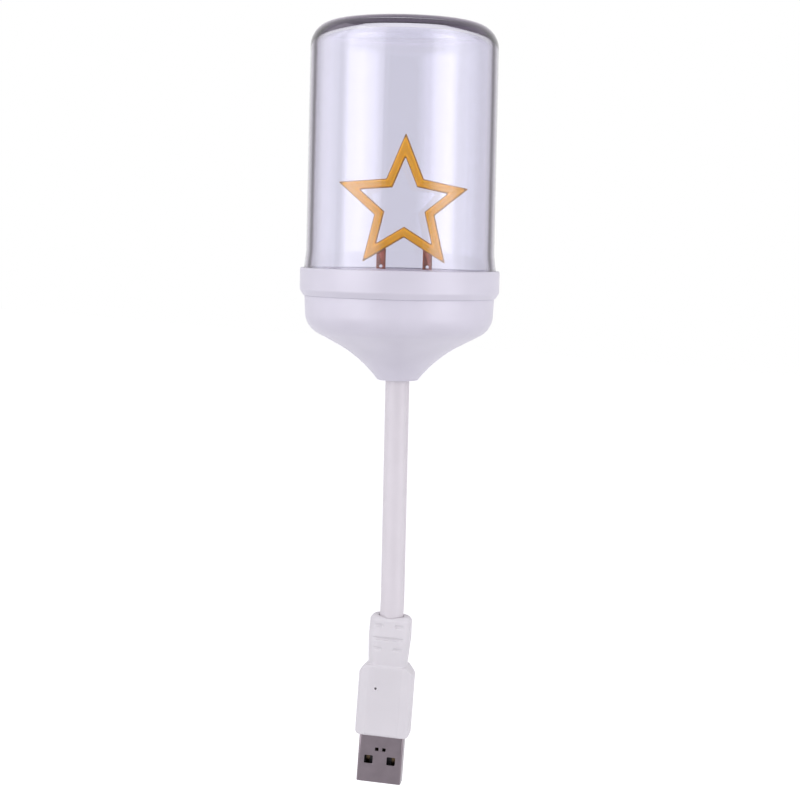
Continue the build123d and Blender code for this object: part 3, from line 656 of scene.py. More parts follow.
def cup_mesh(s):
    """The funnel: a straight side, a round shoulder and a hollow cone that runs out to the arm."""
    draft, lip, sole_width = 0.2 * MM, 0.35 * MM, 1.5 * MM
    low_side = s.cup_side_radius - draft
    centre = Vector((low_side - s.cup_shoulder, s.cup_side_low))
    slope = s.cup_cone_turn
    down_cone = Vector((-math.sin(slope), -math.cos(slope)))
    cone_top = centre + s.cup_shoulder * Vector((math.cos(slope), -math.sin(slope)))
    cone_low = cone_top + s.cup_cone_length * down_cone
    bottom = Vector((s.cup_bottom_radius, 0))
    chord = bottom - cone_low
    heading = math.atan2(down_cone.y, down_cone.x)
    swing = math.atan2(chord.y, chord.x) - heading
    radius = chord.length / (2 * math.sin(swing))
    funnel_steps, shoulder_steps = 24, 16
    funnel = []
    for step in range(funnel_steps):
        part = swing * step / funnel_steps
        way = Vector((math.cos(heading + part), math.sin(heading + part)))
        funnel.append(cone_low + 2 * radius * math.sin(part) * way)
    angles = [slope * step / shoulder_steps for step in range(1, shoulder_steps + 1)]
    shoulder = [centre + s.cup_shoulder * Vector((math.cos(a), -math.sin(a))) for a in angles]
    foot = rounded([funnel[-1], (*bottom, lip), (bottom.x - sole_width, bottom.y)], 5)[1:-1]
    neck, neck_top, bore_corner = 3.3 * MM, 9.0 * MM, 15.2 * MM
    inside = rounded(
        [
            (neck, 0, 0.1 * MM),
            (neck, neck_top),
            (s.cup_bore - (bore_corner - neck_top) * math.tan(slope), neck_top),
            (s.cup_bore, bore_corner, 1.0 * MM),
            (s.cup_bore, s.rim_top, 0.2 * MM),
            (s.rim_radius, s.rim_top, 0.2 * MM),
            (s.rim_radius, s.cup_step),
            (s.cup_side_radius, s.cup_step, 0.15 * MM),
            (low_side, s.cup_side_low),
        ],
        6,
    )
    return lathe(inside + shoulder + funnel + foot)


def floor_mesh(s, star):
    """The white disc below the star, with a soft edge, a skirt below and a slot for each leg."""
    gap, thickness = 0.12 * MM, 1.6 * MM
    underside = s.floor_top - thickness
    outline = [
        (0, underside),
        (s.cup_bore, underside),
        (s.cup_bore, s.rim_top),
        (s.floor_radius, s.rim_top),
        (s.floor_radius, s.floor_top, 0.4 * MM),
        (0, s.floor_top),
    ]
    disc = lathe(rounded(outline, 6), 128)
    middle = (star.strip_thickness + star.leg_thickness) / 2
    width, depth = star.leg_width + 2 * gap, star.leg_thickness + 2 * gap
    outlines = [box_outline(width, depth, 0.05 * MM, x, middle) for x in (star.leg_left, star.leg_right)]
    slots = [slab(outline, underside - gap, s.floor_top + gap) for outline in outlines]
    return combined(disc, joined(slots), "DIFFERENCE")


# The filament


def star_corners(star):
    """The star's outer corners in its own plane: tips and notches in turn, from the top tip round by -X."""
    step = math.pi / star.points
    corners = []
    for index in range(2 * star.points):
        direction, reach = math.pi / 2 + index * step, star.notch_reach if index % 2 else star.reach
        if index == 2 * star.points - 2:
            direction, reach = direction - star.bent_droop, star.bent_reach
        corners.append(reach * Vector((math.cos(direction), math.sin(direction))))
    return corners


def inset(corners, distance):
    """A closed outline, counterclockwise, moved inwards by a distance with its corners kept sharp."""
    moved = []
    for index, here in enumerate(corners):
        back = (here - corners[index - 1]).normalized()
        ahead = (corners[(index + 1) % len(corners)] - here).normalized()
        inwards = Vector((-back.y, back.x)), Vector((-ahead.y, ahead.x))
        moved.append(here + distance * (inwards[0] + inwards[1]) / (1 + inwards[0].dot(inwards[1])))
    return moved


def star_place(star):
    """From the star's own plane, with its front along Z, to its place in the lamp."""
    return Matrix.Translation((star.centre_x, 0, star.centre_height)) @ STAND


def star_band(star, section, rounding):
    """A band round the star: section gives its closed outline as (inset from the star's edge, height)."""
    corners = star_corners(star)
    rings = []
    for distance, height in section:
        rings.append(flat(rounded([(*corner, rounding) for corner in inset(corners, distance)], 7), height))
    return loft(rings, closed=True)


def bead_mesh(star, height, side):
    """A bead with a domed section on one side of the strip, with an attribute from its edges to its crest."""
    half_width, middle = star.strip_width / 2 - star.bead_margin, star.strip_width / 2
    foot = star.strip_thickness / 2
    # Powers under one make the section fuller than a half circle
    fuller_across, fuller_up = 0.62, 0.75
    steps = 14
    section = []
    for step in range(steps + 1):
        angle = math.pi * step / steps
        across = math.copysign(abs(math.cos(angle)) ** fuller_across, math.cos(angle))
        rise = math.sin(angle) ** fuller_up
        section.append((middle - across * half_width, side * (foot + rise * height)))
    mesh = star_band(star, section, star.tip_rounding)
    values = [max(0.0, (abs(vertex.co.z) - foot) / height) for vertex in mesh.vertices]
    mesh.attributes.new("across", "FLOAT", "POINT").data.foreach_set("value", values)
    return mesh


def strip_mesh(star):
    """The flat strip of the filament, with its sheared edges eased."""
    half, ease, width = star.strip_thickness / 2, 0.05 * MM, star.strip_width
    section = [(0, half - ease), (ease, half), (width - ease, half), (width, half - ease)]
    section += [(width, ease - half), (width - ease, -half), (ease, -half), (0, ease - half)]
    return star_band(star, section, 0.2 * MM)


def leg_mesh(star, x):
    """A stamped leg: a flat strip with eased edges, a hole above the floor and a narrow tail below it."""
    tail_low, tail_top = 19.1 * MM, 25.4 * MM
    half, tail, ease, round_top = star.leg_width / 2, 0.6 * MM, 0.1 * MM, 0.25 * MM
    right = [(tail, tail_low, ease), (tail, tail_top, ease)]
    right += [(half, tail_top, ease), (half, star.leg_top, round_top)]
    left = [(-aside, height, radius) for aside, height, radius in reversed(right)]
    outline = rounded([(x + aside, height, radius) for aside, height, radius in right + left], 4)
    back = -star.strip_thickness / 2
    front = back - star.leg_thickness
    ring = circle(star.leg_hole_radius, 32, x, star.leg_hole_height)
    hole = slab(ring, front - ease, back + ease, STAND)
    return eased(combined(slab(outline, front, back, STAND), hole, "DIFFERENCE"), 0.05 * MM)


def chip_tree(material):
    """A node tree that sets chips in a row along each edge of a mesh, lying on the strip."""
    tree = bpy.data.node_groups.new("chips_on_limbs", "GeometryNodeTree")
    for name, kind in (("Limbs", "Geometry"), ("Chips per limb", "Int"), ("Chip size", "Vector")):
        tree.interface.new_socket(name, in_out="INPUT", socket_type=f"NodeSocket{kind}")
    tree.interface.new_socket("Chips", in_out="OUTPUT", socket_type="NodeSocketGeometry")
    limbs, number, size = add(tree, "NodeGroupInput").outputs[:3]
    limbs = add(tree, "GeometryNodeSplitEdges", {"Mesh": limbs}, "Mesh")
    limbs = add(tree, "GeometryNodeMeshToCurve", {"Mesh": limbs}, "Curve")
    # Each row starts and ends on a corner, where no chip is wanted
    count = add(tree, "ShaderNodeMath", {0: number, 1: 2.0}, "Value", operation="ADD")
    ends = add(tree, "GeometryNodeCurveEndpointSelection", {"Start Size": 1, "End Size": 1}, "Selection")
    along = {"Vector": add(tree, "GeometryNodeInputTangent", output="Tangent")}
    row = {
        "Points": add(tree, "GeometryNodeResampleCurve", {"Curve": limbs, "Count": count}, "Curve"),
        "Selection": add(tree, "FunctionNodeBooleanMath", {0: ends}, "Boolean", operation="NOT"),
        "Instance": add(tree, "GeometryNodeMeshCube", {"Size": size}, "Mesh"),
        "Rotation": add(tree, "FunctionNodeAlignRotationToVector", along, "Rotation", axis="X"),
    }
    chips = add(tree, "GeometryNodeInstanceOnPoints", row, "Instances")
    chips = add(tree, "GeometryNodeRealizeInstances", {"Geometry": chips}, "Geometry")
    chips = add(tree, "GeometryNodeSetMaterial", {"Geometry": chips, "Material": material}, "Geometry")
    add(tree, "NodeGroupOutput", {"Chips": chips})
    return tree


# The plug


def plug_plan(s):
    """The grip's section: flat panels front and back, with facets that fall to rounded sides."""
    panel, front, panel_edge = s.grip_panel / 2, s.grip_depth / 2, 0.5 * MM
    half, side, side_edge = s.grip_width / 2, s.grip_side_depth / 2, 1.6 * MM
    right = [(panel, -front, panel_edge), (half, -side, side_edge)]
    right += [(half, side, side_edge), (panel, front, panel_edge)]
    return rounded(right + [(-x, -y, radius) for x, y, radius in right])


def grip_mesh(s):
    """The grip with its shoulders and slotted strain relief, softened as a moulding is."""
    aside = Matrix.Rotation(math.pi / 2, 4, "Z") @ STAND
    half, foot, deep = s.grip_width / 2, s.shoulder_width / 2, s.grip_depth / 2
    right = [(half, 0, s.grip_corner), (half, s.grip_height, s.grip_corner), (foot, s.shoulder_top, 0)]
    front_outline = rounded(right + [(-x, z, radius) for x, z, radius in reversed(right)])
    right = [(deep, 0, s.grip_edge), (deep, s.shoulder_top, 0.4 * MM)]
    side_outline = rounded(right + [(-y, z, radius) for y, z, radius in reversed(right)])
    sleeve_room, mouth_depth = 3.35 * MM, 1.2 * MM
    mouth = slab(circle(sleeve_room, 48), s.relief_top - mouth_depth, s.relief_top + MM)
    grip = slab(plug_plan(s), 0, s.shoulder_top)
    for tool, operation in (
        (slab(front_outline, -s.grip_depth, s.grip_depth, STAND), "INTERSECT"),
        (slab(side_outline, -s.grip_width, s.grip_width, aside), "INTERSECT"),
        (relief_mesh(s), "UNION"),
        (relief_slots(s), "DIFFERENCE"),
        (mouth, "DIFFERENCE"),
    ):
        grip = combined(grip, tool, operation)
    remesh = {"mode": "VOXEL", "voxel_size": 0.14 * MM}
    grip = finished(grip, ("REMESH", remesh), ("SMOOTH", {"factor": 0.5, "iterations": 6}))
    gate = circle(s.gate_radius, 16, -s.gate_aside, s.gate_height)
    return combined(grip, slab(gate, deep - s.gate_depth, deep + s.gate_depth, STAND), "DIFFERENCE")


def relief_mesh(s):
    """The strain relief: widest at its middle slots, tapered both ways and bevelled at its top."""
    low_draft, high_draft = math.tan(math.radians(3.5)), math.tan(math.radians(1.5))
    root, bevel_low, bevel_middle = 0.6 * MM, s.relief_top - s.relief_bevel, s.relief_top - 0.25 * MM
    below = (s.relief_middle - s.shoulder_top) * low_draft
    above = (s.relief_top - s.relief_middle) * high_draft
    levels = [
        (s.shoulder_top - root, below),
        (s.shoulder_top, below),
        (s.relief_middle, 0),
        (bevel_low, (bevel_low - s.relief_middle) * high_draft),
        (bevel_middle, above + s.relief_bevel * 0.6),
        (s.relief_top, above + s.relief_bevel),
    ]
    rings = []
    for height, drawn in levels:
        outline = box_outline(s.relief_width - 2 * drawn, s.relief_depth - 2 * drawn, s.relief_corner - drawn)
        rings.append(flat(outline, height))
    return loft(rings)


def relief_slots(s):
    """Short and long slots in turn, in the front and back of the strain relief."""
    short = (s.slot_width - s.slot_web) / 2
    short_x = (s.slot_width + s.slot_web) / 4
    rows = [(s.relief_middle, s.slot_width, 0)]
    rows += [(z, short, x) for z in (s.slot_low, s.slot_high) for x in (-short_x, short_x)]
    cuts = []
    for side in (-1, 1):
        for height, width, x in rows:
            outline = box_outline(width, 2 * s.slot_depth, 0.2 * MM, x, side * s.relief_depth / 2)
            cuts.append(slab(outline, height - s.slot_height / 2, height + s.slot_height / 2))
    return joined(cuts)


def shell_mesh(s):
    """The shell: a bent sheet with two windows in each wide wall, a lance in front and a seam behind."""
    sheet, tip, buried, deep = s.shell_sheet, -s.shell_reach, 0.7 * MM, s.shell_depth
    outer = box_outline(s.shell_width, deep, s.shell_corner)
    inner = box_outline(s.shell_width - 2 * sheet, deep - 2 * sheet, s.shell_corner - sheet)
    levels = ((outer, tip), (outer, buried), (inner, buried), (inner, tip))
    shell = loft([flat(outline, height) for outline, height in levels], closed=True)
    middle = tip + s.window_low + s.window_height / 2
    cuts = []
    for x in (-s.window_spacing / 2, s.window_spacing / 2):
        window = box_outline(s.window_width, s.window_height, 0.25 * MM, x, middle)
        cuts.append(slab(window, -deep, deep, STAND))
    lance = box_outline(s.lance_width, s.lance_height, 0.2 * MM, 0, tip + s.lance_low + s.lance_height / 2)
    cuts.append(slab(lance, deep / 4, deep, STAND))
    cuts.append(slab(box_outline(0.15 * MM, 2 * sheet, 0, 0, deep / 2), tip - sheet, buried + sheet))
    return eased(combined(shell, joined(cuts), "DIFFERENCE"), 0.06 * MM)


def lance_mesh(s):
    """The lance's bent tab, which stands in its opening."""
    sheet, front, proud = s.shell_sheet, s.shell_depth / 2, 0.05 * MM
    middle = s.lance_low - s.shell_reach + s.lance_height / 2
    outline = box_outline(0.35 * s.lance_width, s.lance_height + 2 * sheet, 0.1 * MM, 0, middle)
    return eased(slab(outline, front - sheet, front - proud, STAND), 0.05 * MM)


# The arm


def arm_line(distance):
    """A point and direction of the arm's line, by its length from the first hinge: it bends there, once."""
    half = PITCH / 2
    if distance <= -half:
        return HINGES[0] + UP * distance, UP
    if distance >= half:
        return HINGES[0] + ARM * distance, ARM
    lean = UP.angle(ARM)
    radius = half / math.tan(lean / 2)
    part = lean * (distance + half) / PITCH
    aside = Vector((ARM.x, ARM.y, 0)).normalized()
    start = HINGES[0] - UP * half
    point = start + UP * radius * math.sin(part) + aside * radius * (1 - math.cos(part))
    return point, UP * math.cos(part) + aside * math.sin(part)


def span(index):
    """Where the stretch of arm round a hinge begins and ends, by its length from the first hinge."""
    return (index - 0.5) * PITCH, (index + 0.5) * PITCH


def bend(made, index):
    """Bakes a piece's placement into its mesh; the ends of the stretch of arm round the hinge are worked out
    but not used.
    """
    low, high = [arm_line(distance)[0] for distance in span(index)]
    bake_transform(made)
    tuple(low)
    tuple(high)


def sleeve_mesh(s, start, end):
    """A length of sleeve along the arm's line, with its bore."""
    distances = [start + (end - start) * k / s.rings for k in range(s.rings + 1)]
    rings = []
    for radius, along in ((s.sleeve_radius, distances), (s.sleeve_bore, reversed(distances))):
        for distance in along:
            point, way = arm_line(distance)
            lean = UP.rotation_difference(way)
            rings.append([point + lean @ Vector((*around, 0)) for around in circle(radius, 48)])
    return loft(rings, closed=True)


def lead_mesh(low, high):
    """The part of the two leads that lies between two distances along the arm's line."""
    leads = bmesh.new()
    for name in LEADS:
        leads.from_mesh(frame["nodes"][name].data)
    bmesh.ops.remove_doubles(leads, verts=leads.verts, dist=1e-7)
    bends = 6
    cuts = [(low, {"clear_inner": True}), (high, {"clear_outer": True})]
    if low > -math.inf and high < math.inf:
        cuts += [(low + (high - low) * k / bends, {}) for k in range(1, bends)]
    for distance, settings in cuts:
        if math.isfinite(distance):
            point, way = arm_line(distance)
            settings["geom"] = [*leads.verts, *leads.edges, *leads.faces]
            bmesh.ops.bisect_plane(leads, dist=1e-7, plane_co=point, plane_no=way, **settings)
    bmesh.ops.holes_fill(leads, edges=[edge for edge in leads.edges if edge.is_boundary])
    mesh = bpy.data.meshes.new("leads")
    leads.to_mesh(mesh)
    leads.free()
    return mesh


# Operators


class BuildDome(Operator):
    """Build the clear dome"""

    bl_idname = "night_light.build_dome"
    bl_label = "Dome"

    def execute(self, context):
        scene = context.scene
        dome, clear = dome_mesh(scene.night_light_lamp), polished_clear_acrylic(scene.night_light_finishes)
        piece("clear_dome", dome, clear, HEAD, ["dome_cover"], place=LAMP)
        return {"FINISHED"}


class BuildHousing(Operator):
    """Build the white cup, the collar and the disc below the star"""

    bl_idname = "night_light.build_housing"
    bl_label = "Cup, collar and floor"

    def execute(self, context):
        scene = context.scene
        lamp, star, finishes = scene.night_light_lamp, scene.night_light_star, scene.night_light_finishes
        # ABS moulded in a satin tool: a soft broad sheen with no sharp reflections
        white = moulded("satin_moulded_abs", finishes.housing, 0.38)
        # The same ABS from a rougher tool: the disc looks a little drier
        inside = moulded("satin_moulded_floor", finishes.floor, 0.45)
        disc = floor_mesh(lamp, star)
        piece("cup", cup_mesh(lamp), white, HEAD, ["base_cup"], place=LAMP)
        piece("collar", collar_mesh(lamp), white, HEAD, ["collar_ring"], place=LAMP)
        piece("floor_disc", disc, inside, HEAD, ["floor_plate"], place=LAMP)
        return {"FINISHED"}


class BuildFilament(Operator):
    """Build the star filament, its chips and its two legs"""

    bl_idname = "night_light.build_filament"
    bl_label = "Star filament"

    def execute(self, context):
        star, finishes = context.scene.night_light_star, context.scene.night_light_finishes
        place = LAMP @ star_place(star)
        silicone = phosphor_silicone(finishes)
        # Fired alumina strip: pale, dry and a little yellow where the silicone has crept over it
        ceramic = moulded("fired_alumina_strip", finishes.strip, 0.6, grain=0.2)
        # Copper-plated brass sheet, stamped, in a dark brown
        copper = plated("darkened_copper_sheet", finishes.leg, 0.42)
        # Sapphire chips: blue and glossy where they aren't covered
        sapphire = moulded("sapphire_chip", linear("#5A78B4"), 0.2, grain=0.1)
        front = bead_mesh(star, star.bead_height, 1)
        back = self.open_for_legs(bead_mesh(star, star.back_bead_height, -1), star)
        chips = self.chip_rows(star, sapphire)
        piece("star_front_bead", front, silicone, HEAD, ["phosphor_front"], 60, place)
        piece("star_back_bead", back, silicone, HEAD, ["phosphor_back"], 60, place)
        piece("star_strip", strip_mesh(star), ceramic, HEAD, ["star_substrate"], 30, place)
        piece("star_chips", chips, sapphire, HEAD, ["led_chips"], 30, place)
        for name, x in (("left", star.leg_left), ("right", star.leg_right)):
            leg = leg_mesh(star, x)
            piece(f"leg_{name}", leg, copper, HEAD, [f"filament_leg_{name}"], 30, LAMP)
        return {"FINISHED"}

    def open_for_legs(self, bead, star):
        """Cuts the back bead away where the legs are joined to the strip."""
        gap = 0.1 * MM
        width, middle = star.leg_width + 2 * gap, star.leg_top + gap - star.centre_height - star.reach
        cuts = []
        for x in (star.leg_left, star.leg_right):
            outline = box_outline(width, 2 * star.reach, 0, x - star.centre_x, middle)
            cuts.append(slab(outline, -3 * star.back_bead_height, -star.strip_thickness / 4))
        return combined(bead, joined(cuts), "DIFFERENCE")

    def chip_rows(self, star, material):
        """Grows the chips along the middle of the strip, on its front face."""
        corners = inset(star_corners(star), star.strip_width / 2)
        thick = 0.2 * MM
        height = (star.strip_thickness + thick) / 2
        limbs = bpy.data.meshes.new("limbs")
        edges = [(index, (index + 1) % len(corners)) for index in range(len(corners))]
        limbs.from_pydata([(*corner, height) for corner in corners], edges, [])
        tree = chip_tree(material)
        sockets = {item.name: item.identifier for item in tree.interface.items_tree}
        settings = {"node_group": tree, sockets["Chips per limb"]: star.chips_per_limb}
        settings[sockets["Chip size"]] = (0.8 * MM, 0.45 * MM, thick)
        return finished(limbs, ("NODES", settings))


class BuildArm(Operator):
    """Build the sleeve of the bending arm, one length for each hinge"""

    bl_idname = "night_light.build_arm"
    bl_label = "Arm"

    def execute(self, context):
        # Soft PVC drawn over the metal hose: satin, with a faint leathery grain
        soft = moulded("drawn_pvc_sleeve", context.scene.night_light_finishes.sleeve, 0.5, grain=0.3)
        hidden, last = 1.0 * MM, len(HINGES) - 1
        for index in range(len(HINGES)):
            start, end = span(index)
            start, end = start - (hidden if index == 0 else 0), end + (hidden if index == last else 0)
            mesh = sleeve_mesh(context.scene.night_light_arm, start, end)
            replaced = ["hose_sleeve"] if index == 0 else ()
            bend(piece(f"sleeve_{index + 1:02d}", mesh, soft, None, replaced, 50), index)
        return {"FINISHED"}


class BuildLeads(Operator):
    """Build the two leads, one length for each hinge and one beyond each end of the arm"""

    bl_idname = "night_light.build_leads"
    bl_label = "Leads"

    def execute(self, context):
        # PVC insulation: dark, smooth and a little waxy
        rubber = moulded("pvc_lead_insulation", linear("#3A3A3E"), 0.5)
        low, high = span(0)[0], span(len(HINGES) - 1)[1]
        piece("leads_in_plug", lead_mesh(-math.inf, low), rubber, PLUG, LEADS)
        piece("leads_in_lamp", lead_mesh(high, math.inf), rubber, HEAD)
        for index in range(len(HINGES)):
            mesh = lead_mesh(*span(index))
            bend(piece(f"leads_{index + 1:02d}", mesh, rubber, None), index)
        return {"FINISHED"}


class BuildPlug(Operator):
    """Build the plug's grip and its metal shell"""

    bl_idname = "night_light.build_plug"
    bl_label = "Plug"

    def execute(self, context):
        plug, finishes = context.scene.night_light_plug, context.scene.night_light_finishes
        # Soft TPE moulded over the plug: matt, with the tool's fine spark texture
        soft = moulded("overmoulded_tpe", finishes.grip, 0.52, grain=0.25)
        # Nickel-plated brass sheet: softly mirrored, with fine drawing lines along the shell; its grey is
        # painted shade, darker than bare nickel, standing in for the dark room that its face mirrors
        nickel = plated("nickel_plated_sheet", finishes.shell, 0.3)
        piece("grip", grip_mesh(plug), soft, PLUG, ["plug_overmould"], 60)
        piece("shell", shell_mesh(plug), nickel, PLUG, ["usb_shell"], 30, flat_walls=True)
        piece("shell_lance", lance_mesh(plug), nickel, PLUG, (), 30)
        return {"FINISHED"}


class DressInside(Operator):
    """Give the pieces inside the light their materials"""

    bl_idname = "night_light.dress_inside"
    bl_label = "Inner pieces"

    def execute(self, context):
        # Zinc plate on cold-formed steel: pale, with a dull mirror
        zinc = plated("zinc_plated_steel", linear("#B4B4B0"), 0.34)
        finishes = {
            "screw_steel": zinc,
            "clamp_steel": zinc,
            # Steel links, turned and left bright: rings of fine tool marks
            "hose_steel": plated("turned_steel_links", linear("#A9A9AB"), 0.3, brushing=(2.0, 2.0, 0.05)),
            # A thin flash of gold over nickel, painted dark as shade for its place inside the shell: a dark,
            # warm, smooth metal
            "contact_gold": plated("gold_flashed_contacts", linear("#574A38"), 0.25),
            # Solder that has flowed and set: grey and softly mirrored, with no direction
            "solder_tin": plated("tinned_solder", linear("#B9B9BC"), 0.38, brushing=(0.4, 0.4, 0.4)),
            # Hard moulding round the plug's works: plain white with a low sheen
            "inner_plastic": moulded("hard_white_moulding", linear("#D2D2D4"), 0.4),
            # Solder mask over glass fibre: even green with a soft gloss over the weave
            "board_green": moulded("solder_masked_board", linear("#2F6B46"), 0.35, grain=0.5),
            # Glazed thick film: nearly black and smooth
            "resistor_black": moulded("thick_film_resistor", linear("#1E1E20"), 0.3),
        }
        # Glass-filled plastic of the tongue: black and slightly dusty
        black = moulded("black_contact_carrier", linear("#26262A"), 0.45)
        slots = {sub["node"]: sub["material_slot"] for sub in frame["record"]["subparts"]}
        for name, node in frame["nodes"].items():
            if not node.hide_render:
                for slot in node.material_slots:
                    slot.material = black if name == "contact_carrier" else finishes[slots[name]]
        return {"FINISHED"}


class BuildStage(Operator):
    """Build the floor, the studio light and the camera"""

    bl_idname = "night_light.build_stage"
    bl_label = "Stage"

    def execute(self, context):
        stage = context.scene.night_light_stage
        context.scene.view_settings.view_transform = "Standard"
        self.floor(stage)
        self.room(context.scene, stage)
        self.softboxes(stage)
        self.camera(context.scene)
        return {"FINISHED"}

    def floor(self, stage):
        """A pale floor that reads white to the eye and still takes the object's shadow."""
        reach, height = stage.floor_reach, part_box("usb_shell")[0].z - stage.floor_drop
        corners = [(x * reach, y * reach, height) for x, y in ((-1, -1), (1, -1), (1, 1), (-1, 1))]
        mesh = bpy.data.meshes.new("floor")
        mesh.from_pydata(corners, [], [(0, 1, 2, 3)])
        material, tree, shader, where = new_material("pale_floor")
        speckle = add(tree, "ShaderNodeTexNoise", {"Vector": where, "Scale": per_mm(40.0)}, "Fac")
        tones = [(0.3, linear("#EDEDED")), (0.7, linear("#F2F2F2"))]
        tone = add(tree, "ShaderNodeValToRGB", {"Fac": speckle}, "Color", tones)
        feed(tree, shader, {"Base Color": tone, "Roughness": 1.0, "Specular IOR Level": 0.0})
        seen = add(tree, "ShaderNodeLightPath")
        place = add(tree, "ShaderNodeNewGeometry", output="Position")
        glow = {"Value": self.unlit_side(tree, seen, place), "To Min": stage.floor_glow}
        glow["To Max"] = stage.floor_glow * stage.unlit
        glow = {0: self.straight_view(tree, seen), 1: add(tree, "ShaderNodeMapRange", glow, "Result")}
        glow = add(tree, "ShaderNodeMath", glow, "Value", operation="MULTIPLY")
        glow = add(tree, "ShaderNodeEmission", {"Color": (1, 1, 1, 1), "Strength": glow}, "Emission")
        both = add(tree, "ShaderNodeAddShader", {0: shader.outputs["BSDF"], 1: glow}, "Shader")
        output = next(node for node in tree.nodes if node.type == "OUTPUT_MATERIAL")
        feed(tree, output, {"Surface": both})
        mesh.materials.append(material)
        placed("pale_floor", mesh)

    def straight_view(self, tree, path):
        """One for a ray that has met only mirrors and glass since the camera, and nought for others."""
        kinds = path.outputs["Is Camera Ray"]
        for kind in ("Is Glossy Ray", "Is Transmission Ray"):
            either = {0: kinds, 1: path.outputs[kind]}
            kinds = add(tree, "ShaderNodeMath", either, "Value", operation="MAXIMUM")
        clean = {0: path.outputs["Diffuse Depth"], 1: 0.5}
        clean = add(tree, "ShaderNodeMath", clean, "Value", operation="LESS_THAN")
        return add(tree, "ShaderNodeMath", {0: kinds, 1: clean}, "Value", operation="MULTIPLY")

    def unlit_side(self, tree, path, direction):
        """One for a mirrored ray that looks to the photographer's side of the room, and nought for others."""
        front = (math.sin(CAMERA_AZIMUTH), -math.cos(CAMERA_AZIMUTH), 0)
        way = add(tree, "ShaderNodeVectorMath", {0: direction}, "Vector", operation="NORMALIZE")
        ahead = add(tree, "ShaderNodeVectorMath", {0: way, 1: front}, "Value", operation="DOT_PRODUCT")
        side = add(tree, "ShaderNodeMapRange", {"Value": ahead, "From Min": 0.1, "From Max": 0.5}, "Result")
        mirrored = {0: path.outputs["Glossy Depth"], 1: 0.5}
        mirrored = add(tree, "ShaderNodeMath", mirrored, "Value", operation="GREATER_THAN")
        return add(tree, "ShaderNodeMath", {0: side, 1: mirrored}, "Value", operation="MULTIPLY")

    def room(self, scene, stage):
        """A white room to the eye, with a softer light on the object."""
        scene.world = bpy.data.worlds.new("white_room")
        scene.world.use_nodes = True
        tree = scene.world.node_tree
        tree.nodes.clear()
        seen = add(tree, "ShaderNodeLightPath")
        soft = {"Color": linear("#F4F2FA"), "Strength": stage.room}
        looking = add(tree, "ShaderNodeTexCoord", output="Generated")
        lit = {"Value": self.unlit_side(tree, seen, looking), "To Min": 1.0, "To Max": stage.unlit}
        white = {"Color": (1, 1, 1, 1), "Strength": add(tree, "ShaderNodeMapRange", lit, "Result")}
        both = {
            0: self.straight_view(tree, seen),
            1: add(tree, "ShaderNodeBackground", soft, "Background"),
            2: add(tree, "ShaderNodeBackground", white, "Background"),
        }
        add(tree, "ShaderNodeOutputWorld", {"Surface": add(tree, "ShaderNodeMixShader", both, "Shader")})

    def softboxes(self, stage):
        """Tall softboxes for what mirrors them, and two fill lights for the matt pieces."""
        # How bright each softbox is, by the direction in degrees that it is seen in, from the camera's
        left = [(-81, 0.05), (-75, 0.25), (-70, 0.8), (-66, 0.95)]
        left += [(-50, 0.85), (-42, 0.68), (-34, 0.58), (-24, 0.2)]
        left_back = [(-120, 0.1), (-112, 0.3), (-100, 0.35), (-89, 0.2), (-83, 0.1)]
        right = [(33, 0.1), (37, 0.4), (41, 0.6), (47, 0.72), (55, 0.88)]
        right += [(63, 0.88), (70, 0.45), (76, 0.2), (86, 0.0)]
        for name, brightness in (("left", left), ("left_back", left_back), ("right", right)):
            low, high = math.radians(brightness[0][0]), math.radians(brightness[-1][0])
            middle, half = (low + high) / 2, (high - low) / 2
            softbox = self.light(f"{name}_softbox", middle, half, 0.12, stage.mirrored)
            softbox.visible_diffuse = False
            softbox.data.use_nodes = True
            tree = softbox.data.node_tree
            tree.nodes.clear()
            stops = []
            for direction, value in brightness:
                at = 0.5 + 0.5 * math.tan(math.radians(direction) - middle) / math.tan(half)
                stops.append((at, (value, value, value, 1.0)))
            across = add(tree, "ShaderNodeNewGeometry", output="Parametric")
            across = add(tree, "ShaderNodeSeparateXYZ", {"Vector": across}, "X")
            glow = add(tree, "ShaderNodeValToRGB", {"Fac": across}, "Color", stops)
            glow = add(tree, "ShaderNodeEmission", {"Color": glow, "Strength": 1.0}, "Emission")
            add(tree, "ShaderNodeOutputLight", {"Surface": glow})
        for name, azimuth in (("left", -50.0), ("right", 58.0)):
            fill = self.light(f"{name}_fill", math.radians(azimuth), math.radians(32.0), 0.3, stage.fill)
            fill.visible_glossy = False

    def light(self, name, azimuth, half_width, rise, strength):
        """A tall area light that faces the lamp from one side, as wide as it looks from there."""
        centre, distance = LAMP @ Vector((0, 0, 55 * MM)), 0.6
        data = bpy.data.lights.new(name, "AREA")
        data.shape = "RECTANGLE"
        data.size, data.size_y = 2 * distance * math.tan(half_width), 1.1
        data.energy = strength * math.pi * data.size * data.size_y
        data.color = linear("#F8F6FC")[:3]
        lamp = placed(name, data)
        around = CAMERA_AZIMUTH + azimuth
        lamp.location = centre + distance * Vector((math.sin(around), -math.cos(around), rise))
        lamp.rotation_mode = "QUATERNION"
        lamp.rotation_quaternion = (lamp.location - centre).to_track_quat("Z", "Y")
        return lamp

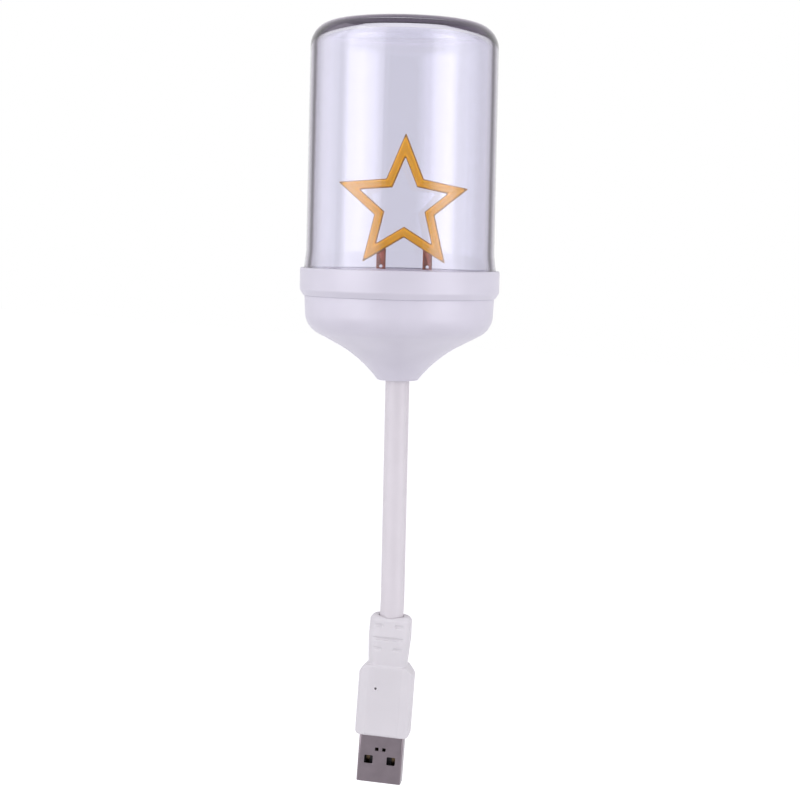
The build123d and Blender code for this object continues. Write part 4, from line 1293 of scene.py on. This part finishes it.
    def camera(self, scene):
        """The photograph's view: a long lens a little above the lamp and to its right, rolled slightly."""
        level = Vector((math.cos(CAMERA_AZIMUTH), math.sin(CAMERA_AZIMUTH), 0))
        back = level.cross(UP) * math.cos(CAMERA_ELEVATION) + UP * math.sin(CAMERA_ELEVATION)
        right = math.cos(CAMERA_ROLL) * level + math.sin(CAMERA_ROLL) * back.cross(level)
        data = bpy.data.cameras.new("camera")
        data.lens, data.clip_start, data.clip_end = CAMERA_LENS, 0.01, 20.0
        scene.camera = placed("camera", data)
        place = Matrix((right, back.cross(right), back)).transposed().to_4x4()
        target = LAMP @ Vector((0, 0, CAMERA_TARGET_HEIGHT))
        place.translation = target + CAMERA_ASIDE * right + CAMERA_DISTANCE * back
        scene.camera.matrix_world = place


class NightLightPanel(Panel):
    """Lists the light's pieces and their sizes"""

    bl_idname = "VIEW3D_PT_night_light"
    bl_label = "Star Filament Night Light"
    bl_space_type = "VIEW_3D"
    bl_region_type = "UI"
    bl_category = "Night Light"

    def draw(self, context):
        scene = context.scene
        for operator in OPERATORS:
            self.layout.operator(operator.bl_idname)
        for name in GROUPS:
            group = getattr(scene, name)
            box = self.layout.box()
            for field in group.__annotations__:
                box.prop(group, field)


GROUPS = {
    "night_light_lamp": LampSizes,
    "night_light_star": StarSizes,
    "night_light_plug": PlugSizes,
    "night_light_arm": ArmSizes,
    "night_light_finishes": Finishes,
    "night_light_stage": StageSizes,
}
OPERATORS = (BuildDome, BuildHousing, BuildFilament, BuildArm, BuildLeads, BuildPlug, DressInside, BuildStage)


def register():
    for group in GROUPS.values():
        bpy.utils.register_class(group)
    for name, group in GROUPS.items():
        setattr(bpy.types.Scene, name, PointerProperty(type=group))
    for cls in (*OPERATORS, NightLightPanel):
        bpy.utils.register_class(cls)


def unregister():
    for cls in (NightLightPanel, *reversed(OPERATORS)):
        bpy.utils.unregister_class(cls)
    for name in GROUPS:
        delattr(bpy.types.Scene, name)
    for group in GROUPS.values():
        bpy.utils.unregister_class(group)


def main():
    """Builds the whole light."""
    register()
    for operator in OPERATORS:
        group, name = operator.bl_idname.split(".")
        getattr(getattr(bpy.ops, group), name)()


if __name__ == "__main__":
    main()
